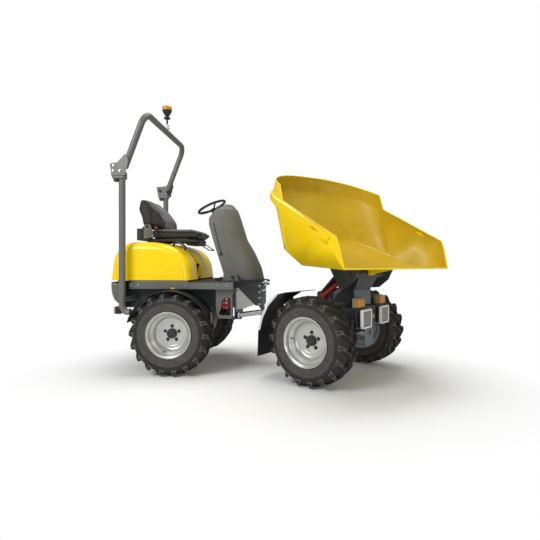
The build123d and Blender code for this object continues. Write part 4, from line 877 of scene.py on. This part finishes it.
shape("valve_screens", screens, grey_powder_coat, "rear_chassis", REAR, ["side_plates"])
shape("valve_caps", lambda bm: [bar(bm, (x, -0.349, 0.623), (x, -0.385, 0.623), 0.0125, round_by=0.002)
                                for x in (-0.684, -0.655)],
      red_enamel, "rear_chassis", REAR)
shape("valve_fittings", lambda bm: [bar(bm, (x, -0.349, z), (x, -0.374, z), 0.011, sides=6, round_by=0.0015)
                                    for x in (-0.686, -0.654) for z in (0.665, 0.698)],
      plated_steel, "rear_chassis", REAR)
shape("guard_plate", lambda bm: plate(bm, [
    (-0.588, 0.796), (-0.566, 0.796), (-0.404, 0.634), (-0.412, 0.622), (-0.560, 0.580), (-0.588, 0.580)],
    -0.2085, -0.2045, 0.001),
      pale_enamel, "rear_chassis", REAR)
bolts("guard_bolts", [(-0.577, -0.2085, 0.640), (-0.577, -0.2085, 0.770)], 0.013, "rear_chassis", REAR)
for side, name in SIDES:
    face = side * 0.5
    bolts(f"rail_bolts_{name}", [(x, face, 0.838) for x in (-0.625, -0.705, -1.020, -1.480, -1.555)], 0.016,
          "rear_chassis", REAR, (0, side, 0))
    bolts(f"frame_bolts_{name}", [(-0.345, side * 0.240, z) for z in (0.640, 0.700, 0.760, 0.820)], 0.018,
          "rear_chassis", REAR, (0, side, 0))
shape("hose_couplings", lambda bm: [(bar(bm, (-0.330, y, z), (-0.292, y, z), 0.013, round_by=0.002),
                                     bar(bm, (-0.300, y, z), (-0.284, y, z), 0.016, sides=6, round_by=0.002))
                                    for y, z in ((-0.205, 0.855), (-0.165, 0.820), (-0.205, 0.775), (-0.120, 0.855),
                                                 (0.205, 0.855), (0.165, 0.820))],
      plated_steel, "rear_chassis", REAR)

# ------------------------ mudguard edging at the front
for side, name in SIDES:
    y0, y1 = sorted((side * 0.6485, side * 0.6525))
    shape(f"mudguard_edging_{name}", lambda bm: plate(bm, [
        (0.0465, 0.440), (0.081, 0.561), (0.148, 0.681), (0.243, 0.771), (0.270, 0.778), (0.268, 0.762), (0.253, 0.752),
        (0.166, 0.666), (0.103, 0.553), (0.070, 0.438)], y0, y1, 0.001),
          pale_enamel, "front_chassis", FRONT)

# ------------------------ slewing column's front plate
# its top stays under the tub when that is tipped right back
shape("column_plate", lambda bm: block(bm, (-0.004, -0.099, -0.128), (0.0, 0.099, 0.084), 0.0015),
      blue_grey_paint, "slew_frame", SLEW @ Matrix.Translation((0.2935, 0, 0.808)))


# ------------------------ pedals, each a ribbed pad on a low arm
def pedal_pads(bm):
    for y in (-0.285, 0.215):
        plate(bm, [(-0.798, 0.8725), (-0.742, 0.8725), (-0.716, 0.900), (-0.724, 0.910), (-0.790, 0.888)],
              y + 0.012, y + 0.058)
        for step in range(4):
            x, z = -0.784 + 0.017 * step, 0.888 + 0.0056 * step
            block(bm, (x, y + 0.014, z), (x + 0.008, y + 0.056, z + 0.006), 0.001, 1)


shape("pedal_pads", pedal_pads, black_polypropylene, "rear_chassis", REAR, ["pedals"])

# ------------------------ towing plate under the lamps
shape("towing_plate", lambda bm: windowed_plate(bm, [
    [(-0.115, 0.300), (0.060, 0.300), (0.060, 0.480), (-0.115, 0.480)],
    [(-0.030, 0.398), (0.002, 0.398), (0.002, 0.442), (-0.030, 0.442)]], 0.0, 0.004),
      blue_grey_paint, "front_chassis",
      FRONT @ Matrix.Translation((0.8450, 0, 0)) @ Matrix.Rotation(radians(90), 4, "Z"))
shape("rail_marker", lambda bm: block(bm, (-1.162, -0.5035, 0.8035), (-1.128, -0.4995, 0.8145), 0.001),
      yellow_enamel, "rear_chassis", REAR)

# ------------------------ floor, lights and camera
BACKDROP_WHITE = 1.0
floor_mesh = bpy.data.meshes.new("floor")
bm = bmesh.new()
bmesh.ops.create_grid(bm, x_segments=1, y_segments=1, size=40)
bm.to_mesh(floor_mesh)
bm.free()
floor = bpy.data.objects.new("floor", floor_mesh)
bpy.context.scene.collection.objects.link(floor)
studio_floor = bpy.data.materials.new("studio floor")
studio_floor.use_nodes = True
tree = studio_floor.node_tree
tree.nodes.clear()
place = add(tree, "TexCoord")
oval = add(tree, "Mapping", {"Location": (0, 0.35, 0), "Scale": (1, 1.5, 1)}, [("Vector", place.outputs["Object"])])
distance = add(tree, "VectorMath", {"operation": "LENGTH"}, [(0, oval.outputs["Vector"])])
fade = add(tree, "MapRange", {"From Min": 1.35, "From Max": 2.45, "To Min": 0.0, "To Max": 1.0},
           [("Value", distance.outputs["Value"])])
paper = add(tree, "BsdfDiffuse", {"Color": linear("F4F4F2")})
white = add(tree, "Emission", {"Color": (1, 1, 1, 1), "Strength": BACKDROP_WHITE})
path = add(tree, "LightPath")
seen = add(tree, "Math", {"operation": "MULTIPLY"}, [(0, fade.outputs[0]), (1, path.outputs["Is Camera Ray"])])
blend = add(tree, "MixShader", links=[(0, seen.outputs[0]), (1, paper.outputs[0]), (2, white.outputs[0])])
add(tree, "OutputMaterial", links=[("Surface", blend.outputs[0])])
floor_mesh.materials.append(studio_floor)

world = bpy.data.worlds.new("studio")
bpy.context.scene.world = world
world.use_nodes = True
tree = world.node_tree
tree.nodes.clear()
path = add(tree, "LightPath")
sky = add(tree, "Background", {"Color": linear("F2F4F7"), "Strength": 0.36})
plain = add(tree, "Background", {"Color": (1, 1, 1, 1), "Strength": BACKDROP_WHITE})
direct = add(tree, "Math", {"operation": "MAXIMUM"},
             [(0, path.outputs["Is Camera Ray"]), (1, path.outputs["Is Transmission Ray"])])
blend = add(tree, "MixShader", links=[(0, direct.outputs[0]), (1, sky.outputs[0]), (2, plain.outputs[0])])
add(tree, "OutputWorld", links=[("Surface", blend.outputs[0])])


def softbox(name, place, aim, size, watts):
    """A square studio light at one point, facing another."""
    lamp = bpy.data.lights.new(name, "AREA")
    lamp.shape = "SQUARE"
    lamp.size = size
    lamp.energy = watts
    holder = bpy.data.objects.new(name, lamp)
    holder.location = place
    holder.rotation_euler = (Vector(aim) - Vector(place)).to_track_quat("-Z", "Y").to_euler()
    bpy.context.scene.collection.objects.link(holder)


softbox("key", (-3.6, -4.2, 4.2), (0, 0, 0.9), 2.4, 205)
softbox("fill", (3.0, -5.2, 2.4), (0.2, 0, 0.9), 2.4, 75)
softbox("top", (0.2, 0.6, 5.6), (0, 0, 0.4), 3.2, 150)

camera_data = bpy.data.cameras.new("camera")
camera_data.lens = 25.8
camera_data.sensor_width = 36
camera_data.shift_y = -0.0145
camera = bpy.data.objects.new("camera", camera_data)
camera.location = (0.339, -3.774, 1.057)
camera.rotation_euler = (pi / 2, 0, radians(5.39))
bpy.context.scene.collection.objects.link(camera)
bpy.context.scene.camera = camera
bpy.context.scene.view_settings.view_transform = "Standard"
